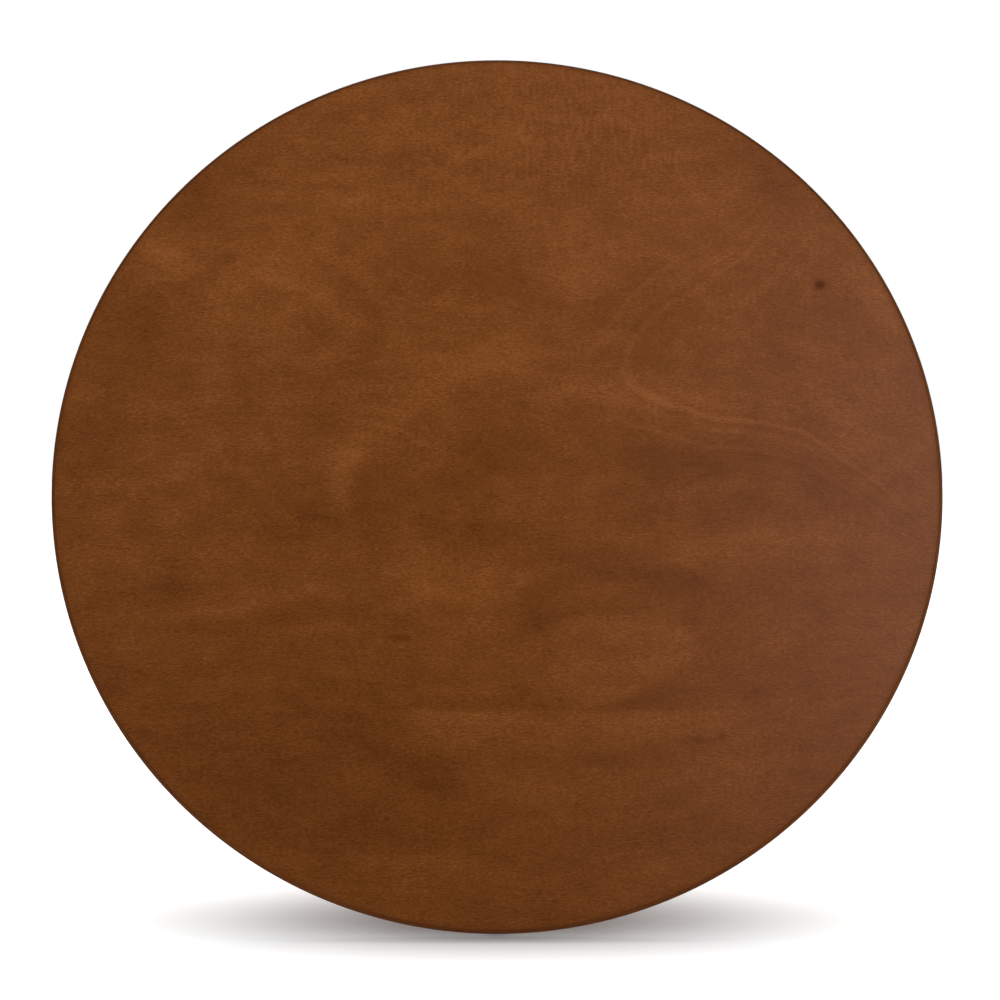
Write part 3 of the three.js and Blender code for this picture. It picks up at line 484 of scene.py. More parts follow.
# Bakes an object's modifiers into one plain mesh
def bakeModifiers(piece):
    evaluated = piece.evaluated_get(bpy.context.evaluated_depsgraph_get())
    mesh = bpy.data.meshes.new_from_object(evaluated)
    piece.modifiers.clear()
    piece.data = mesh
    mesh.name = piece.name
    return piece


def hexOutline(angle):
    return cos(pi / 6) / cos((angle % (pi / 3)) - pi / 6)


def crossOutline(angle):
    turn = ((angle + pi / 4) % (pi / 2)) - pi / 4
    armHalfWidth = 0.3
    return min(1 / cos(turn), armHalfWidth / max(abs(sin(turn)), 1e-6))


# Rings of (radius, height) or (radius, height, outline), turned about Z, from the bottom up
def turnedMesh(name, profile, segments=48, closed=False):
    bm = bmesh.new()
    rings = []
    for radius, height, *outline in profile:
        if radius == 0:
            rings.append([bm.verts.new((0, 0, height))])
            continue
        ring = []
        for i in range(segments):
            angle = 2 * pi * i / segments
            reach = radius * (outline[0](angle) if outline else 1.0)
            ring.append(bm.verts.new((reach * cos(angle), reach * sin(angle), height)))
        rings.append(ring)
    pairs = list(zip(rings, rings[1:]))
    if closed:
        pairs.append((rings[-1], rings[0]))
    for lower, upper in pairs:
        for i in range(segments):
            k = (i + 1) % segments
            corners = [lower[i % len(lower)], lower[k % len(lower)], upper[k % len(upper)], upper[i % len(upper)]]
            corners = list(dict.fromkeys(corners))
            if len(corners) > 2:
                bm.faces.new(corners)
    bmesh.ops.recalc_face_normals(bm, faces=bm.faces)
    mesh = bpy.data.meshes.new(name)
    bm.to_mesh(mesh)
    bm.free()
    return mesh


def arcPoints(centreRadius, centreHeight, radius, fromAngle, toAngle, steps):
    points = []
    for i in range(steps + 1):
        angle = radians(fromAngle + (toAngle - fromAngle) * i / steps)
        points.append((centreRadius + radius * cos(angle), centreHeight + radius * sin(angle)))
    return points


# Where each vertex lies in its plank: X along the grain, with a shift so that no two pieces match
def markGrain(piece, along, across, shift):
    mesh = piece.data
    points = np.empty(len(mesh.vertices) * 3, np.float32)
    mesh.vertices.foreach_get("co", points)
    points = points.reshape(-1, 3)
    along, across = Vector(along).normalized(), Vector(across).normalized()
    axes = np.array([along, across, along.cross(across)])
    centre = (points.min(0) + points.max(0)) / 2
    places = (points - centre) @ axes.T + np.array((1.7 * shift, 0.031 * (shift % 5), 0.0))
    attribute = mesh.attributes.new("grainPlace", "FLOAT_VECTOR", "POINT")
    attribute.data.foreach_set("vector", places.astype(np.float32).ravel())


# Marks the narrow faces of rounded edges, which bend away from the faces at their long sides
def markEdges(piece, widest, leastBend=radians(4)):
    bm = bmesh.new()
    bm.from_mesh(piece.data)
    marks = []
    for face in bm.faces:
        longSides = sorted(face.edges, key=lambda e: -e.calc_length())[:2]
        narrow = face.calc_area() < widest * longSides[0].calc_length()
        bent = all(e.calc_face_angle(0) > leastBend for e in longSides)
        marks.append(1.0 if narrow and bent else 0.0)
    bm.free()
    attribute = piece.data.attributes.new("edgeMask", "FLOAT", "FACE")
    attribute.data.foreach_set("value", marks)


# Sharp edges that meet, as groups
def edgeGroups(edges):
    groups = []
    waiting = set(edges)
    while waiting:
        group, front = [], [waiting.pop()]
        while front:
            edge = front.pop()
            group.append(edge)
            for vertex in edge.verts:
                for other in vertex.link_edges:
                    if other in waiting:
                        waiting.discard(other)
                        front.append(other)
        groups.append(group)
    return groups


# A copy of a frame node with its outer edges rounded; small holes keep their crisp rims
def softened(node, name, width, steps=3, smallestGroup=0.034):
    bm = bmesh.new()
    bm.from_mesh(frame["nodes"][node].data)
    bmesh.ops.remove_doubles(bm, verts=bm.verts, dist=2e-6)
    bmesh.ops.dissolve_limit(bm, angle_limit=radians(0.6), verts=bm.verts, edges=bm.edges)
    sharp = [e for e in bm.edges if len(e.link_faces) == 2 and e.calc_face_angle(0) > radians(30)]
    rounded = []
    for group in edgeGroups(sharp):
        points = np.array([v.co for e in group for v in e.verts])
        if np.linalg.norm(points.max(0) - points.min(0)) > smallestGroup:
            rounded += group
    bmesh.ops.bevel(bm, geom=rounded, offset=width, offset_type="OFFSET", segments=steps, profile=0.5,
                    affect="EDGES", clamp_overlap=True)
    mesh = bpy.data.meshes.new(name)
    bm.to_mesh(mesh)
    bm.free()
    return newPiece(name, mesh)


def weighNormals(piece):
    piece.data.polygons.foreach_set("use_smooth", [True] * len(piece.data.polygons))
    piece.data.set_sharp_from_angle(angle=radians(35))
    modifier = piece.modifiers.new("weighted", "WEIGHTED_NORMAL")
    modifier.keep_sharp = True
    modifier.weight = 100
    return bakeModifiers(piece)


# ---- the lathe: a Geometry Nodes tree that turns a profile about Z ----

def makeLatheTree():
    tree = bpy.data.node_groups.new("lathe", "GeometryNodeTree")
    tree.interface.new_socket("Profile", in_out="INPUT", socket_type="NodeSocketGeometry")
    tree.interface.new_socket("Segments", in_out="INPUT", socket_type="NodeSocketInt")
    tree.interface.new_socket("Finish", in_out="INPUT", socket_type="NodeSocketMaterial")
    tree.interface.new_socket("Turned", in_out="OUTPUT", socket_type="NodeSocketGeometry")
    given = tree.nodes.new("NodeGroupInput").outputs
    points = addNode(tree, "GeometryNodeAttributeDomainSize", {"Geometry": given["Profile"]}).outputs["Point Count"]
    columns = addNode(tree, "ShaderNodeMath", {0: given["Segments"], 1: 1.0}, operation="ADD").outputs[0]
    grid = addNode(tree, "GeometryNodeMeshGrid", {"Vertices X": columns, "Vertices Y": points}).outputs["Mesh"]
    index = addNode(tree, "GeometryNodeInputIndex").outputs[0]
    column = addNode(tree, "ShaderNodeMath", {0: index, 1: points}, operation="DIVIDE").outputs[0]
    column = addNode(tree, "ShaderNodeMath", {0: column}, operation="FLOOR").outputs[0]
    row = addNode(tree, "ShaderNodeMath", {0: index, 1: points}, operation="MODULO").outputs[0]
    position = addNode(tree, "GeometryNodeInputPosition").outputs[0]
    onProfile = addNode(tree, "GeometryNodeSampleIndex", data_type="FLOAT_VECTOR", domain="POINT")
    tree.links.new(given["Profile"], onProfile.inputs["Geometry"])
    tree.links.new(position, onProfile.inputs["Value"])
    tree.links.new(row, onProfile.inputs["Index"])
    turn = addNode(tree, "ShaderNodeMath", {0: column, 1: given["Segments"]}, operation="DIVIDE").outputs[0]
    turn = addNode(tree, "ShaderNodeMath", {0: turn, 1: 2 * pi}, operation="MULTIPLY").outputs[0]
    turned = addNode(tree, "ShaderNodeVectorRotate", {"Vector": onProfile.outputs[0], "Angle": turn},
                     rotation_type="Z_AXIS").outputs[0]
    placed = addNode(tree, "GeometryNodeSetPosition", {"Geometry": grid, "Position": turned}).outputs[0]
    joined = addNode(tree, "GeometryNodeMergeByDistance", {"Geometry": placed, "Distance": 1e-6}).outputs[0]
    whole = addNode(tree, "GeometryNodeRealizeInstances", {"Geometry": joined}).outputs[0]
    finished = addNode(tree, "GeometryNodeSetMaterial", {"Geometry": whole, "Material": given["Finish"]}).outputs[0]
    result = tree.nodes.new("NodeGroupOutput")
    tree.links.new(finished, result.inputs["Turned"])
    return tree


latheTree = makeLatheTree()


def setInput(modifier, label, value):
    sockets = modifier.node_group.interface.items_tree
    key = next(s.identifier for s in sockets if s.item_type == "SOCKET" and s.in_out == "INPUT" and s.name == label)
    modifier[key] = value


# A closed or open profile of (radius, height), turned by the lathe tree
def latheTurned(name, profile, segments, finish):
    mesh = bpy.data.meshes.new(name + "Profile")
    mesh.from_pydata([(radius, 0, height) for radius, height in profile], [], [])
    piece = newPiece(name, mesh)
    modifier = piece.modifiers.new("lathe", "NODES")
    modifier.node_group = latheTree
    setInput(modifier, "Segments", segments)
    setInput(modifier, "Finish", finish)
    bakeModifiers(piece)
    bm = bmesh.new()
    bm.from_mesh(piece.data)
    bmesh.ops.remove_doubles(bm, verts=bm.verts, dist=1e-6)
    bmesh.ops.recalc_face_normals(bm, faces=bm.faces)
    bm.to_mesh(piece.data)
    bm.free()
    return piece


# ---- round top ----

topValues = {"segments": 288, "faceRings": 104, "facePlay": 0.0, "faceRounding": 0.005, "undersideRounding": 0.0025}

# Soft stain clouds, as seen: place, size, turn in degrees, strength
stainClouds = [
    (-0.52, 0.50, 0.13, 0.07, 0, 0.15), (-0.757, 0.58, 0.05, 0.045, 0, 0.22), (-0.13, 0.21, 0.19, 0.06, 44, 0.11),
    (-0.30, 0.665, 0.17, 0.03, 0, 0.12), (0.187, 0.55, 0.12, 0.075, 0, 0.12), (0.50, 0.66, 0.10, 0.06, 40, 0.06),
    (0.13, 0.27, 0.13, 0.045, -8, 0.15), (0.41, 0.225, 0.13, 0.03, -14, 0.2), (0.80, 0.16, 0.12, 0.035, -28, 0.10),
    (0.84, 0.42, 0.07, 0.04, -40, 0.15), (0.45, -0.01, 0.34, 0.05, -8, -0.09), (0.58, -0.115, 0.16, 0.028, 0, 0.12),
    (0.80, -0.09, 0.08, 0.035, 0, 0.09), (-0.128, -0.19, 0.12, 0.07, 8, 0.16), (-0.87, -0.108, 0.08, 0.05, 0, 0.13),
    (-0.735, 0.064, 0.15, 0.05, 16, 0.10), (-0.308, 0.10, 0.06, 0.035, 0, 0.04), (0.276, -0.35, 0.19, 0.085, 0, 0.09),
    (0.546, -0.64, 0.08, 0.06, 0, 0.07), (0.14, -0.64, 0.13, 0.04, 0, 0.1), (0.97, -0.33, 0.07, 0.12, 0, 0.09),
    (-0.30, -0.95, 0.5, 0.12, 0, 0.05), (-0.64, -0.25, 0.19, 0.013, 4, 0.13), (-0.56, -0.235, 0.05, 0.03, 0, 0.08),
    (-0.66, 0.22, 0.16, 0.03, 0, 0.06), (-0.05, 0.83, 0.25, 0.04, 0, 0.06), (-0.60, -0.12, 0.12, 0.03, 0, 0.08),
    (0.007, 0.525, 0.10, 0.05, 0, -0.11), (-0.24, 0.45, 0.06, 0.13, -20, -0.05), (0.231, 0.45, 0.14, 0.04, 42, -0.11),
    (0.43, 0.085, 0.20, 0.045, -8, -0.2), (0.76, 0.02, 0.14, 0.035, -20, -0.13), (-0.40, -0.05, 0.13, 0.05, 0, -0.14),
    (-0.038, -0.062, 0.13, 0.032, 0, -0.11), (0.20, -0.125, 0.13, 0.035, 0, -0.13), (0.40, -0.18, 0.16, 0.04, -18, -0.13),
    (-0.01, 0.10, 0.17, 0.07, 40, -0.12), (0.06, -0.26, 0.07, 0.06, -30, -0.08), (-0.128, -0.645, 0.11, 0.045, -12, -0.17),
    (-0.31, -0.53, 0.12, 0.08, -20, -0.09), (0.25, -0.463, 0.42, 0.014, 0, -0.08), (-0.937, 0.156, 0.08, 0.06, 0, -0.15),
    (-0.87, -0.417, 0.06, 0.035, -30, -0.15), (-0.645, 0.706, 0.10, 0.07, 30, -0.13), (-0.353, 0.20, 0.09, 0.07, 0, -0.05),
    (0.68, 0.40, 0.13, 0.07, 0, -0.1), (-0.42, -0.292, 0.2, 0.018, 0, -0.1), (-0.75, -0.20, 0.12, 0.02, 3, -0.11),
    (-0.85, 0.45, 0.09, 0.14, 0, -0.09), (0.62, 0.74, 0.16, 0.08, -40, -0.15), (0.52, -0.33, 0.07, 0.08, 0, -0.06),
    (0.25, -0.572, 0.22, 0.012, 3, -0.09), (-0.50, 0.36, 0.17, 0.10, 0, 0.06), (-0.55, -0.60, 0.25, 0.15, 0, -0.1),
    (-0.36, -0.77, 0.25, 0.10, 0, -0.09),
]
# Curved edges in the stain, light outside and dark inside: middle, size, from and to in degrees, width, strength
stainArcs = [
    (0.20, -0.12, 0.50, 0.47, 80, 195, 0.05, 0.15), (-0.56, 0.37, 0.27, 0.19, -50, 160, 0.03, 0.11),
    (-0.55, 0.36, 0.16, 0.10, -40, 130, 0.02, 0.1), (-0.54, 0.36, 0.34, 0.245, 0, 130, 0.024, 0.07),
    (0.24, -0.34, 0.16, 0.10, -180, 180, 0.035, -0.08), (0.26, -0.34, 0.30, 0.205, 10, 175, 0.034, 0.11),
    (-0.34, 0.50, 0.20, 0.19, 60, 140, 0.02, 0.09), (0.04, -0.20, 0.29, 0.30, 150, 205, 0.02, -0.07),
]
# Swells in the growth rings, which turn straight stripes into long ovals
ringSwells = [
    (-0.54, 0.40, 0.24, 0.15, 0, 0.22), (-0.05, 0.14, 0.28, 0.18, 40, 0.09), (0.28, -0.36, 0.24, 0.10, 0, 0.15),
    (-0.62, -0.02, 0.35, 0.08, 14, 0.06), (-0.40, -0.08, 0.12, 0.09, -30, 0.07), (0.18, 0.56, 0.2, 0.1, 0, 0.08),
]
# The tongue of the figure opens to the right between two straight sides: a place on each, and its direction
tongue = {"upperPlace": (0.321, 0.385), "upperTurn": 39, "lowerPlace": (0.321, 0.215), "lowerTurn": -9,
          "bendFrom": 0.54, "bend": 0.95, "rounding": 0.085, "blend": 0.16, "level": 0.30, "slope": 0.55}
# The face's tone as a whole: slow drifts across and up, which make it lighter to the right and towards the top, partly
# stain and partly painted light from the right and above; a constant; and how strong the stain clouds are
stainAndLightDrift = {"clouds": 1.35, "across": 0.06, "up": 0.14, "level": -0.025}


def swellSum(x, v, swells):
    total = np.zeros_like(x)
    for centreX, centreV, sizeX, sizeV, turn, strength in swells:
        c, s = cos(radians(turn)), sin(radians(turn))
        along = ((x - centreX) * c + (v - centreV) * s) / sizeX
        aside = ((v - centreV) * c - (x - centreX) * s) / sizeV
        total += strength * np.exp(-(along ** 2 + aside ** 2))
    return total


def arcSum(x, v, arcs):
    total = np.zeros_like(x)
    for centreX, centreV, sizeX, sizeV, start, end, width, strength in arcs:
        along, aside = (x - centreX) / sizeX, (v - centreV) / sizeV
        outside = (np.hypot(along, aside) - 1) * min(sizeX, sizeV) / width
        offMiddle = np.abs((np.degrees(np.arctan2(aside, along)) - (start + end) / 2 + 180) % 360 - 180)
        fade = np.clip(((end - start) / 2 - offMiddle) / 25, 0, 1) if end - start < 360 else 1
        total += strength * fade * np.tanh(3 * outside) * np.exp(-outside ** 2 / 2)
    return total


def fieldAttribute(mesh, name, values):
    attribute = mesh.attributes.new(name, "FLOAT", "POINT")
    attribute.data.foreach_set("value", values.astype(np.float32))


def makeFaceVeneer():
    flatRadius = topRadius - topValues["faceRounding"] - topValues["facePlay"]
    rings = topValues["faceRings"]
    low = rimHigh.z - (faceHigh.z - faceLow.z)
    profile = [(0, low), (flatRadius, low)]
    profile += [(flatRadius * (rings - i) / rings, rimHigh.z) for i in range(rings)]
    profile.append((0, rimHigh.z))
    mesh = turnedMesh("faceVeneer", profile, topValues["segments"])
    points = np.empty(len(mesh.vertices) * 3, np.float32)
    mesh.vertices.foreach_get("co", points)
    x, v = points.reshape(-1, 3)[:, 0] / topRadius, points.reshape(-1, 3)[:, 1] / topRadius
    x, v = seenFromDisc(x, v)
    warpX = 0.018 * np.sin(9.1 * v + 1.3) + 0.010 * np.sin(17.0 * x + 8.0 * v)
    warpV = 0.020 * np.sin(6.3 * x + 0.7) + 0.009 * np.sin(14.0 * x - 5.0 * v + 2.0)
    clouds = stainAndLightDrift["clouds"] * swellSum(x + warpX, v + warpV, stainClouds)
    # partly painted light: the drift makes the face lighter to the right and towards the top
    drift = stainAndLightDrift["across"] * x + stainAndLightDrift["up"] * v + stainAndLightDrift["level"]
    fieldAttribute(mesh, "stainCloud", clouds + drift)
    fieldAttribute(mesh, "stainEdge", arcSum(x + 1.6 * warpX, v + 1.3 * warpV, stainArcs))
    rings = v + warpV + swellSum(x + warpX, v + warpV, ringSwells)
    upper, lower = radians(tongue["upperTurn"]), radians(tongue["lowerTurn"])
    underUpper = (x - tongue["upperPlace"][0]) * sin(upper) - (v - tongue["upperPlace"][1]) * cos(upper)
    overLower = (v - tongue["lowerPlace"][1]) * cos(lower) - (x - tongue["lowerPlace"][0]) * sin(lower)
    underUpper = underUpper + 0.012 * np.sin(19.0 * x + 1.2)
    overLower = overLower + 0.008 * np.sin(15.0 * x + 0.6) + tongue["bend"] * np.clip(x - tongue["bendFrom"], 0, 1) ** 2
    inside = -tongue["rounding"] * np.logaddexp(-underUpper / tongue["rounding"], -overLower / tongue["rounding"])
    share = np.clip(inside / tongue["blend"] + 0.7, 0, 1)
    share = share * share * (3 - 2 * share)
    fieldAttribute(mesh, "tongueDepth", inside)
    fieldAttribute(mesh, "ringHeight", rings * (1 - share) + share * (tongue["level"] + tongue["slope"] * inside))
    threads = np.clip(1.1 - np.abs(v - 0.22) * 1.6, 0, 1) * np.clip((x - 0.2) / 0.12, 0, 1)
    fieldAttribute(mesh, "threadMask", threads * np.clip((0.97 - np.hypot(x, v)) / 0.05, 0, 1))
    seen = mesh.attributes.new("seenPlace", "FLOAT_VECTOR", "POINT")
    seen.data.foreach_set("vector", np.stack([x, v, 0 * x], 1).astype(np.float32).ravel())
    fieldAttribute(mesh, "rippleMask", swellSum(x, v, [(0.15, 0.85, 0.3, 0.16, 0, 1.0), (0.75, 0.42, 0.2, 0.2, 0, 0.5)]))
    # the painted sheen's mask: strongest at the right edge, fading to the left
    right = np.clip((x + 0.15) / 1.15, 0, 1) ** 1.6
    fieldAttribute(mesh, "hazeMask", 0.28 * right * (0.6 + 0.4 * np.cos((v + 0.12) * 1.6)))
    mesh.transform(restFromLevel @ Matrix.Translation(Vector((0, discMiddle.y, 0))))
    return finishPiece(newPiece("faceVeneer", mesh), ["face_veneer"])


def makeBackingVeneer():
    flatRadius = topRadius - topValues["undersideRounding"]
    thickness = backHigh.z - backLow.z
    profile = [(0, rimLow.z), (flatRadius * 0.5, rimLow.z), (flatRadius, rimLow.z),
               (flatRadius, rimLow.z + thickness), (0, rimLow.z + thickness)]
    mesh = turnedMesh("backingVeneer", profile, topValues["segments"])
    mesh.transform(restFromLevel @ Matrix.Translation(Vector((0, discMiddle.y, 0))))
    return finishPiece(newPiece("backingVeneer", mesh), ["backing_veneer"])


def makeLipping():
    faceRounding, undersideRounding = topValues["faceRounding"], topValues["undersideRounding"]
    veneer = faceHigh.z - faceLow.z
    innerRadius = levelBox("top_core")[1].x
    profile = [(innerRadius, rimLow.z + veneer), (topRadius - undersideRounding, rimLow.z + veneer)]
    profile += arcPoints(topRadius - undersideRounding, rimLow.z + undersideRounding, undersideRounding, -90, 0, 6)
    profile += arcPoints(topRadius - faceRounding, rimHigh.z - faceRounding, faceRounding, 0, 90, 12)
    profile += [(topRadius - faceRounding, rimHigh.z - veneer), (innerRadius, rimHigh.z - veneer)]
    profile.append(profile[0])
    piece = latheTurned("edgeLipping", profile, topValues["segments"], looks["edge_lipping"])
    mesh = piece.data
    places = []
    for vertex in mesh.vertices:
        radius = Vector((vertex.co.x, vertex.co.y)).length
        places.append((atan2(vertex.co.x, vertex.co.y) * topRadius, radius - topRadius, vertex.co.z))
    attribute = mesh.attributes.new("grainPlace", "FLOAT_VECTOR", "POINT")
    attribute.data.foreach_set("vector", np.array(places, np.float32).ravel())
    fieldAttribute(mesh, "edgeMask", np.zeros(len(mesh.vertices)))
    mesh.transform(restFromLevel @ Matrix.Translation(Vector((0, discMiddle.y, 0))))
    return finishPiece(piece, ["edge_lipping"])


makeFaceVeneer()
makeBackingVeneer()
makeLipping()
print("top made")


# ---- planks: bearers, head frame and legs, with rounded edges ----

up = Vector((0, 0, 1))
right = Vector((1, 0, 0))
back = Vector((0, 1, 0))
alongTop = restFromLevel.to_3x3() @ back
outOfTop = restFromLevel.to_3x3() @ up

planks = {
    "bearer_left": ("bearerLeft", 0.0028, alongTop, outOfTop),
    "bearer_right": ("bearerRight", 0.0028, alongTop, outOfTop),
    "head_cheek_left": ("headCheekLeft", 0.0025, back, up),
    "head_cheek_right": ("headCheekRight", 0.0025, back, up),
    "head_front_rail": ("headFrontRail", 0.002, right, up),
    "head_back_rail": ("headBackRail", 0.002, right, up),
    "head_centre_board": ("headCentreBoard", 0.0018, right, back),
    "leg_right": ("legRight", 0.0045, Vector((0.8, 0, -0.45)), up),
    "leg_left": ("legLeft", 0.0045, Vector((-0.8, 0, -0.45)), up),
    "leg_back": ("legBack", 0.0045, Vector((0, 0.8, -0.45)), up),
    "leg_front": ("legFront", 0.0045, Vector((0, -0.8, -0.45)), up),
}


def makePlanks():
    for shift, (node, (name, width, along, across)) in enumerate(planks.items()):
        across = (across - along.normalized() * across.dot(along.normalized())).normalized()
        piece = weighNormals(softened(node, name, width, 4))
        markGrain(piece, along, across, shift + 1)
        markEdges(piece, width)
        finishPiece(piece, [node])


makePlanks()
print("planks made:", len(planks))


# ---- turned column ----

columnValues = {"segments": 96, "hubRadius": 0.042, "waistRadius": 0.025, "collarRadius": 0.041,
                "collarHeight": 0.016, "hubHeight": 0.092, "tenonRadius": 0.024}


# Points on a smooth curve through a few chosen ones
def smoothThrough(points, steps):
    found = []
    padded = [points[0], *points, points[-1]]
    for a, b, c, d in zip(padded, padded[1:], padded[2:], padded[3:]):
        for i in range(steps):
            t = i / steps
            found.append(tuple(
                0.5 * ((2 * q) + (r - p) * t + (2 * p - 5 * q + 4 * r - s) * t ** 2 + (3 * q - p - 3 * r + s) * t ** 3)
                for p, q, r, s in zip(a, b, c, d)
            ))
    found.append(points[-1])
    return found


def makeColumn():
    low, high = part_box("column")
    values = columnValues
    hub, waist, collar = values["hubRadius"], values["waistRadius"], values["collarRadius"]
    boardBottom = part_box("head_centre_board")[0].z
    hubTop = low.z + values["hubHeight"]
    collarBottom = boardBottom - values["collarHeight"]
    rise = collarBottom - hubTop
    profile = [(0.0043, low.z), (hub - 0.002, low.z), (hub, low.z + 0.002), (hub, hubTop - 0.0015)]
    profile += arcPoints(hub - 0.0015, hubTop - 0.0015, 0.0015, 0, 90, 4)
    profile += [(hub - 0.0045, hubTop), (hub - 0.0045, hubTop + 0.003)]
    profile += arcPoints(hub - 0.0065, hubTop + 0.0085, 0.0055, -75, 75, 12)
    profile += [(hub - 0.0065, hubTop + 0.0145), (hub - 0.0065, hubTop + 0.0165), (hub - 0.0085, hubTop + 0.0165)]
    profile += smoothThrough([
        (hub - 0.0085, hubTop + 0.017), (waist + 0.0085, hubTop + rise * 0.2), (waist + 0.0035, hubTop + rise * 0.31),
        (waist, hubTop + rise * 0.5), (waist + 0.0012, hubTop + rise * 0.66), (waist + 0.005, hubTop + rise * 0.82),
        (waist + 0.0095, hubTop + rise * 0.93),
    ], 8)
    profile += [(waist + 0.0115, hubTop + rise * 0.94), (waist + 0.0115, collarBottom - 0.0012),
                (collar - 0.0025, collarBottom)]
    profile += arcPoints(collar - 0.0055, collarBottom + 0.0065, 0.0055, -62, 40, 8)
    profile += [(collar - 0.0028, boardBottom - 0.005), (collar - 0.0012, boardBottom - 0.004)]
    profile += [(collar - 0.0012, boardBottom - 0.0013), (collar - 0.0022, boardBottom - 0.0003)]
    profile += [(values["tenonRadius"], boardBottom - 0.0003), (values["tenonRadius"], high.z), (0.0043, high.z)]
    profile.append(profile[0])
    piece = latheTurned("column", profile, values["segments"], looks["stained_solid_wood"])
    middle = (low + high) / 2
    piece.data.transform(Matrix.Translation(Vector((middle.x, middle.y, 0))))
    markGrain(piece, up, right, 17)
    markEdges(piece, 0.0)
    return finishPiece(piece, ["column"])


makeColumn()
print("column made")


# ---- turned hardware ----

def placeOnAxis(mesh, start, direction):
    turn = direction.to_track_quat("Z", "Y").to_matrix().to_4x4()
    mesh.transform(Matrix.Translation(start) @ turn)


def washerProfile(inner, outer, thickness, rounding=0.0003):
    return [(inner, rounding), (inner + rounding, 0), (outer - rounding, 0), (outer, rounding),
            (outer, thickness - rounding), (outer - rounding, thickness), (inner + rounding, thickness),
            (inner, thickness - rounding)]


# Rings that lie along an axis of the frame, taken from their own boxes
ringPieces = {
    "pivot_spacer_left": ("pivotSpacerLeft", "x", 0.0063),
    "pivot_spacer_right": ("pivotSpacerRight", "x", 0.0063),
    "pivot_washer_left": ("pivotWasherLeft", "x", 0.0063),
    "pivot_washer_right": ("pivotWasherRight", "x", 0.0063),
    "tie_rod_washer_upper": ("tieRodWasherUpper", "z", 0.0043),
    "tie_rod_washer_lower": ("tieRodWasherLower", "z", 0.0043),
}


def makeRings():
    for node, (name, axis, bore) in ringPieces.items():
        low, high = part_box(node)
        middle = (low + high) / 2
        axisVector = {"x": right, "z": up}[axis]
        thickness = (high - low).dot(axisVector)
        outer = (high.y - low.y) / 2
        mesh = turnedMesh(name, washerProfile(bore, outer, thickness), 56, closed=True)
        placeOnAxis(mesh, middle - axisVector * thickness / 2, axisVector)
        finishPiece(newPiece(name, mesh), [node])


pivotBoltValues = {"head": 0.011, "headHeight": 0.006, "shoulder": 0.006, "thread": 0.0049, "threadPitch": 0.0015,
                   "socket": 0.0046, "socketDepth": 0.0035}


def makePivotBolts():
    values = pivotBoltValues
    for sideName, side in (("left", -1), ("right", 1)):
        node = "pivot_bolt_" + sideName
        low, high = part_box(node)
        middle = (low + high) / 2
        length = high.x - low.x
        shoulderEnd = length - values["headHeight"]
        cheekFace = abs(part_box("head_cheek_" + sideName)[1 if side > 0 else 0].x)
        threadEnd = cheekFace - min(abs(low.x), abs(high.x)) + 0.0003
        profile = [(0, 0), (values["thread"] - 0.001, 0)]
        turns = int((threadEnd - 0.001) / values["threadPitch"])
        for i in range(turns):
            start = 0.0006 + i * values["threadPitch"]
            profile += [(values["thread"], start), (values["thread"] - 0.0007, start + values["threadPitch"] / 2)]
        head, depth = values["head"], values["socketDepth"]
        profile += [(values["thread"], threadEnd), (values["shoulder"], threadEnd), (values["shoulder"], shoulderEnd),
                    (head - 0.0005, shoulderEnd), (head, shoulderEnd + 0.0005)]
        profile += [(head, length - 0.0022)] + arcPoints(head - 0.002, length - 0.002, 0.002, 10, 90, 5)
        profile += [(values["socket"] + 0.0008, length), (values["socket"], length - 0.0004, hexOutline),
                    (values["socket"], length - depth, hexOutline), (0, length - depth - 0.001)]
        mesh = turnedMesh("pivotBolt" + sideName.capitalize(), profile, 72)
        start = Vector((side * min(abs(low.x), abs(high.x)), middle.y, middle.z))
        placeOnAxis(mesh, start, right * side)
        finishPiece(newPiece(mesh.name, mesh), [node], 30)


glideValues = {"rounding": 0.0016, "groove": 0.0006}


def makeGlides():
    for direction in ("right", "back", "left", "front"):
        node = "glide_" + direction
        low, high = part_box(node)
        middle = (low + high) / 2
        radius, rounding = (high.x - low.x) / 2, glideValues["rounding"]
        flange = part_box("leg_" + direction)[0].z - 0.0003
        profile = [(0, 0), (radius - rounding, 0)]
        profile += arcPoints(radius - rounding, rounding, rounding, -90, 0, 5)
        profile += [(radius, flange * 0.55), (radius - glideValues["groove"], flange * 0.6),
                    (radius - glideValues["groove"], flange * 0.7), (radius, flange * 0.75), (radius, flange - 0.0004),
                    (radius - 0.0004, flange), (0.003, flange), (0.003, high.z), (0, high.z)]
        name = "glide" + direction.capitalize()
        mesh = turnedMesh(name, profile, 48)
        mesh.transform(Matrix.Translation(Vector((middle.x, middle.y, low.z))))
        finishPiece(newPiece(name, mesh), [node])


def makeToeBuffer():
    low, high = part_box("toe_buffer")
    direction = outOfTop
    middle = (low + high) / 2
    length, radius, tip, recess, depth = 0.0126, 0.010, 0.0085, 0.0052, 0.007
    profile = [(0.0028, 0), (radius - 0.0006, 0), (radius, 0.0006), (radius, 0.0022)]
    profile += [(radius - 0.0006, 0.0028), (radius - 0.0007, 0.0036)]
    profile += [(tip + 0.0002, length - 0.002)] + arcPoints(tip - 0.0016, length - 0.0016, 0.0016, 5, 90, 5)
    profile += [(recess + 0.0006, length), (recess, length - 0.0006), (recess, length - depth), (0.0028, length - depth - 0.004)]
    mesh = turnedMesh("toeBuffer", profile, 48, closed=True)
    placeOnAxis(mesh, middle - direction * length / 2, direction)
    finishPiece(newPiece("toeBuffer", mesh), ["toe_buffer"])


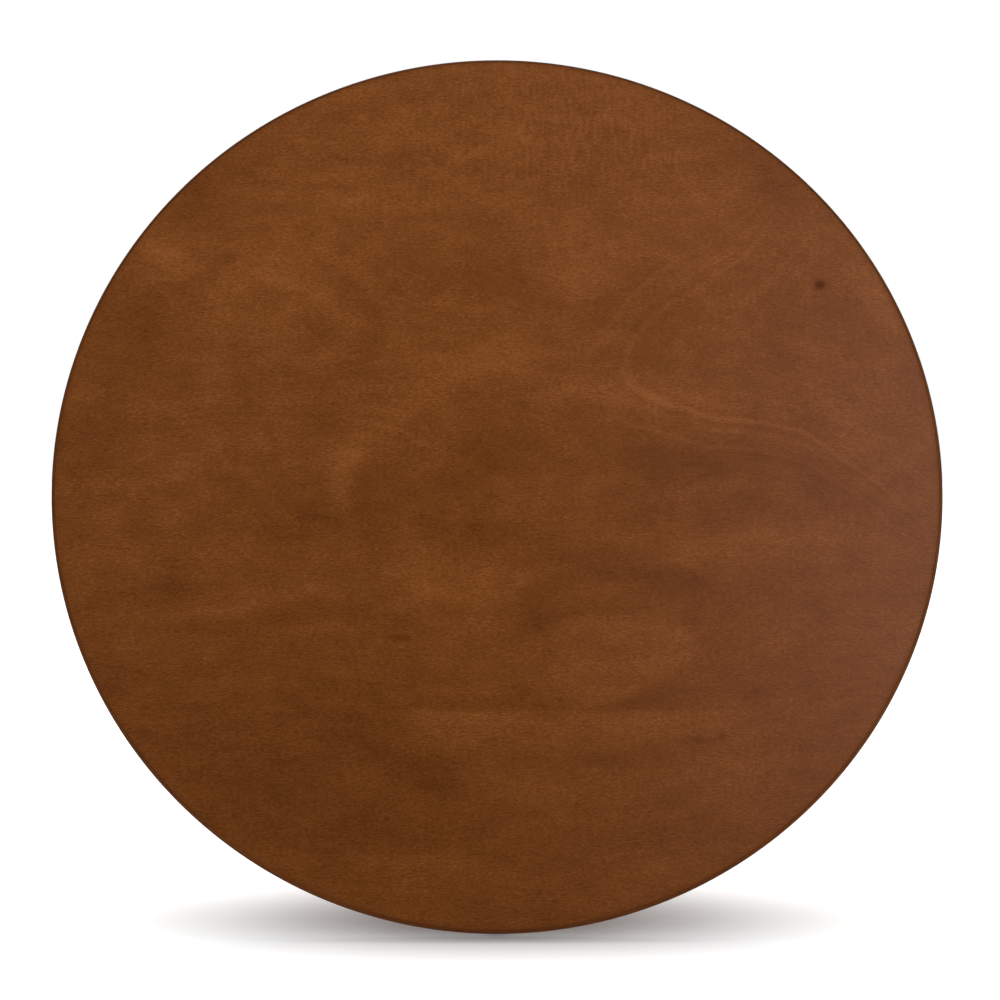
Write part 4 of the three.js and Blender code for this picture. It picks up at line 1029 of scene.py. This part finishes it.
def makeCatchKnob():
    node = "catch_knob"
    low, high = levelBox(node)
    middle = (low + high) / 2
    radius = (high.x - low.x) / 2
    base = low.z
    neck = levelBox("catch_bolt")[0].z - 0.0003
    profile = [(0, base)]
    profile += [(radius * 0.35, base + 0.0001), (radius * 0.62, base + 0.0006)]
    profile += arcPoints(radius - 0.0042, base + 0.0052, 0.0042, -70, 60, 14)
    profile += [(radius * 0.62, base + 0.0098), (0.0046, base + 0.0112), (0.0036, base + 0.0128),
                (0.0034, neck - 0.0022), (0.0044, neck - 0.0012), (0.0044, neck), (0.0025, neck), (0.0025, high.z),
                (0, high.z)]
    mesh = turnedMesh("catchKnob", profile, 56)
    mesh.transform(restFromLevel @ Matrix.Translation(Vector((middle.x, middle.y, 0))))
    finishPiece(newPiece("catchKnob", mesh), [node])


def makeCatchBolt():
    low, high = levelBox("catch_bolt")
    radius, length = (high.x - low.x) / 2, high.y - low.y
    profile = [(0, 0), (radius - 0.0004, 0), (radius, 0.0004), (radius, length - 0.0035)]
    profile += arcPoints(radius - 0.0035, length - 0.0035, 0.0035, 0, 80, 6)
    profile += [(0, length)]
    mesh = turnedMesh("catchBolt", profile, 48)
    placeOnAxis(mesh, Vector((0, high.y, (low.z + high.z) / 2)), -back)
    mesh.transform(restFromLevel)
    finishPiece(newPiece("catchBolt", mesh), ["catch_bolt"])


makeRings()
makePivotBolts()
makeGlides()
makeToeBuffer()
makeCatchKnob()
makeCatchBolt()


# ---- plates and nuts: rounded copies of their nodes ----

plates = {
    "catch_plate": ("catchPlate", 0.0008), "keeper_plate": ("keeperPlate", 0.0006), "spider_plate": ("spiderPlate", 0.0006),
    "tie_rod_nut_upper": ("tieRodNutUpper", 0.0004), "tie_rod_nut_lower": ("tieRodNutLower", 0.0004),
}


def makePlates():
    for node, (name, width) in plates.items():
        smallest = 0.016 if "nut" in node else 0.02
        piece = weighNormals(softened(node, name, width, 2, smallest))
        finishPiece(piece, [node])


makePlates()
print("hardware made")


# ---- screws: a Geometry Nodes tree that sets one screw at each point ----

def screwMesh(name, values):
    head, shank, length, cone = values["head"], values["shank"], values["length"], values["cone"]
    drive, depth = head * 0.56, head * 0.42
    profile = [(0, depth, crossOutline), (drive * 0.5, depth, crossOutline), (drive, 0.00012, crossOutline),
               (drive * 1.35, 0), (head - 0.0003, 0.00002), (head, 0.00035), (shank, cone)]
    pitch = shank * 0.9
    turns = int((length - cone - 3 * shank) / pitch)
    for i in range(turns):
        start = cone + 0.001 + i * pitch
        profile += [(shank * 0.72, start), (shank, start + pitch * 0.45)]
    profile += [(shank * 0.72, length - 2 * shank), (0, length)]
    mesh = turnedMesh(name, [p if p[0] else p[:2] for p in profile], 40)
    mesh.polygons.foreach_set("use_smooth", [True] * len(mesh.polygons))
    return mesh


def makeScrewTree():
    tree = bpy.data.node_groups.new("screwRow", "GeometryNodeTree")
    tree.interface.new_socket("Places", in_out="INPUT", socket_type="NodeSocketGeometry")
    tree.interface.new_socket("Screw", in_out="INPUT", socket_type="NodeSocketObject")
    tree.interface.new_socket("Drive Turn", in_out="INPUT", socket_type="NodeSocketFloat")
    tree.interface.new_socket("Seed", in_out="INPUT", socket_type="NodeSocketInt")
    tree.interface.new_socket("Finish", in_out="INPUT", socket_type="NodeSocketMaterial")
    tree.interface.new_socket("Screws", in_out="OUTPUT", socket_type="NodeSocketGeometry")
    given = tree.nodes.new("NodeGroupInput").outputs
    shape = addNode(tree, "GeometryNodeObjectInfo", {"Object": given["Screw"], "As Instance": True}).outputs["Geometry"]
    direction = addNode(tree, "GeometryNodeInputNamedAttribute", {"Name": "direction"}, data_type="FLOAT_VECTOR")
    aim = addNode(tree, "FunctionNodeAlignEulerToVector", {"Vector": direction.outputs[0]}, axis="Z").outputs[0]
    spin = addNode(tree, "FunctionNodeRandomValue", {"Max": given["Drive Turn"], "Seed": given["Seed"]}, data_type="FLOAT")
    turn = addNode(tree, "ShaderNodeCombineXYZ", {2: spin.outputs[1]}).outputs[0]
    turned = addNode(tree, "FunctionNodeRotateEuler", {"Rotation": aim, "Rotate By": turn},
                     rotation_type="EULER", space="LOCAL").outputs[0]
    placed = addNode(tree, "GeometryNodeInstanceOnPoints",
                     {"Points": given["Places"], "Instance": shape, "Rotation": turned}).outputs[0]
    whole = addNode(tree, "GeometryNodeRealizeInstances", {"Geometry": placed}).outputs[0]
    finished = addNode(tree, "GeometryNodeSetMaterial", {"Geometry": whole, "Material": given["Finish"]}).outputs[0]
    result = tree.nodes.new("NodeGroupOutput")
    tree.links.new(finished, result.inputs["Screws"])
    return tree


screwTree = makeScrewTree()

screwSets = {
    "bearerScrews": {"nodes": [f"bearer_screw_{i}" for i in range(1, 7)], "head": 0.005, "shank": 0.0025,
                     "length": 0.037, "cone": 0.004, "towards": outOfTop},
    "catchScrews": {"nodes": [f"catch_screw_{i}" for i in range(1, 5)], "head": 0.0032, "shank": 0.0017,
                    "length": 0.014, "cone": 0.0022, "towards": outOfTop},
    "keeperScrews": {"nodes": ["keeper_screw_1", "keeper_screw_2"], "head": 0.0032, "shank": 0.0017,
                     "length": 0.018, "cone": 0.0022, "towards": -back},
    "spiderScrews": {"nodes": [f"spider_screw_{d}" for d in ("right", "back", "left", "front")], "head": 0.0042,
                     "shank": 0.0021, "length": 0.025, "cone": 0.0024, "towards": up},
    "toeBufferScrew": {"nodes": ["toe_buffer_screw"], "head": 0.0042, "shank": 0.0021, "length": 0.024,
                       "cone": 0.0024, "towards": -outOfTop},
}


# The middle of a screw's head, from its node's vertices and the way it points
def screwHead(node, towards):
    points = np.array([v.co for v in frame["nodes"][node].data.vertices])
    along = points @ np.array(towards)
    return Vector(points[along < along.min() + 1e-5].mean(0))


def makeScrews():
    for seed, (name, values) in enumerate(screwSets.items()):
        towards = values["towards"].normalized()
        pattern = bpy.data.objects.new(name + "Pattern", screwMesh(name + "Pattern", values))
        mesh = bpy.data.meshes.new(name + "Places")
        mesh.from_pydata([screwHead(node, towards) for node in values["nodes"]], [], [])
        directions = mesh.attributes.new("direction", "FLOAT_VECTOR", "POINT")
        directions.data.foreach_set("vector", list(towards) * len(values["nodes"]))
        piece = newPiece(name, mesh)
        modifier = piece.modifiers.new("screws", "NODES")
        modifier.node_group = screwTree
        setInput(modifier, "Screw", pattern)
        setInput(modifier, "Drive Turn", pi)
        setInput(modifier, "Seed", seed + 3)
        setInput(modifier, "Finish", looks[slotOfNode[values["nodes"][0]]])
        bakeModifiers(piece)
        bpy.data.objects.remove(pattern)
        finishPiece(piece, values["nodes"], 30)


makeScrews()
print("screws made:", len(screwSets), "sets")


# ---- inner pieces keep their frame shape and take a finish ----

for node, obj in frame["nodes"].items():
    if not obj.hide_render:
        obj.data.materials.clear()
        obj.data.materials.append(looks[slotOfNode[node]])
print("inner nodes finished:", [n for n, o in frame["nodes"].items() if not o.hide_render])


# ---- studio: pale floor that glows round a painted shadow, soft panels and the camera ----

# Name: place, aimed at, width, height, power, colour, lights the floor
panels = {
    "overheadPanel": ((0.0, 0.75, 2.9), (0.0, -0.1, 0.0), 2.0, 1.5, 26, (1.0, 0.99, 0.97), True),
    "frontLeftPanel": ((-1.9, -2.2, 1.5), (0.0, -0.15, 0.5), 1.3, 1.3, 12.5, (1.0, 0.96, 0.9), False),
    "frontRightPanel": ((1.9, -2.2, 1.3), (0.0, -0.15, 0.5), 1.3, 1.3, 12, (0.97, 0.98, 1.0), False),
    "frontTopPanel": ((0.0, -1.9, 2.5), (0.0, -0.15, 0.55), 1.8, 1.0, 11, (1.0, 0.95, 0.88), False),
    "rightPanel": ((2.3, -0.75, 0.9), (0.2, -0.15, 0.5), 0.9, 1.3, 16, (0.86, 0.93, 1.0), False),
    "backPanel": ((0.9, 2.4, 1.5), (0.0, 0.0, 0.4), 1.6, 1.4, 40, (1.0, 0.98, 0.96), False),
}


def aimAt(obj, target):
    obj.rotation_euler = (Vector(target) - obj.location).to_track_quat("-Z", "Y").to_euler()


def makeCamera():
    data = bpy.data.cameras.new("camera")
    data.sensor_width = 36.0
    data.lens = studio["lens"]
    camera = bpy.data.objects.new("camera", data)
    scene.collection.objects.link(camera)
    rise = radians(studio["cameraElevation"])
    middle = restFromLevel @ discMiddle
    camera.location = middle + Vector((0, -cos(rise), sin(rise))) * studio["cameraDistance"]
    aimAt(camera, middle + Vector((studio["aimRight"], 0, studio["aimUp"])))
    scene.camera = camera


def makeFloor():
    half = studio["floorSize"] / 2
    mesh = bpy.data.meshes.new("floor")
    mesh.from_pydata([(-half, -half, 0), (half, -half, 0), (half, half, 0), (-half, half, 0)], [], [(0, 1, 2, 3)])
    material, tree, shader = newMaterial("paleFloor")
    source = addNode(tree, "ShaderNodeTexCoord").outputs["Object"]
    away = calcVector(tree, "LENGTH", calcVector(tree, "MULTIPLY", source, (1.0, 1.0, 0.0)))
    # painted shadow: no glow inside the oval round the contact, full glow outside it
    fromContact = calcVector(tree, "SUBTRACT", source, (*studio["contact"], 0.0))
    around = calcVector(tree, "LENGTH", calcVector(tree, "DIVIDE", fromContact, (*studio["paintedShadowReach"], 1.0)))
    near = ramp(tree, around, studio["glowFrom"], studio["glowTo"], 0.0, studio["glow"])
    # a weak glow that grows away from the middle, so the far floor stays white
    far = ramp(tree, away, studio["farFrom"], studio["farTo"], 0.0, studio["farGlow"])
    glow = calc(tree, "ADD", near, far)
    colour = mixColour(tree, noiseAt(tree, source, 7.0, 3.0), shade(240, 240, 240), shade(246, 246, 246))
    connect(tree, shader, {"Base Color": colour, "Roughness": 0.7, "Specular IOR Level": 0.1,
                           "Emission Color": (1, 1, 1, 1), "Emission Strength": glow})
    below = addNode(tree, "ShaderNodeNewGeometry").outputs["Backfacing"]
    clear = addNode(tree, "ShaderNodeBsdfTransparent").outputs[0]
    surface = addNode(tree, "ShaderNodeMixShader", {0: below, 1: shader.outputs[0], 2: clear}).outputs[0]
    tree.links.new(surface, tree.nodes["Material Output"].inputs["Surface"])
    mesh.materials.append(material)
    floor = newPiece("floor", mesh)
    return floor


def makePanels(floor):
    spared = bpy.data.collections.new("sparedFloor")
    spared.objects.link(floor)
    spared.collection_objects[0].light_linking.link_state = "EXCLUDE"
    for name, (place, target, width, height, power, colour, onFloor) in panels.items():
        data = bpy.data.lights.new(name, "AREA")
        data.shape = "RECTANGLE"
        data.size, data.size_y = width, height
        data.energy = power
        data.color = colour
        panel = bpy.data.objects.new(name, data)
        scene.collection.objects.link(panel)
        panel.location = place
        aimAt(panel, target)
        if not onFloor:
            panel.light_linking.receiver_collection = spared


def makeSurround():
    world = bpy.data.worlds.new("surround")
    world.use_nodes = True
    tree = world.node_tree
    background = tree.nodes["Background"]
    seen = addNode(tree, "ShaderNodeLightPath").outputs["Is Camera Ray"]
    background.inputs["Color"].default_value = (1, 1, 1, 1)
    tree.links.new(ramp(tree, seen, 0.0, 1.0, studio["ambient"], 1.0, smooth=False), background.inputs["Strength"])
    scene.world = world


makeCamera()
makePanels(makeFloor())
makeSurround()
scene.view_settings.view_transform = "Standard"
scene.view_settings.look = "None"
print("studio made")
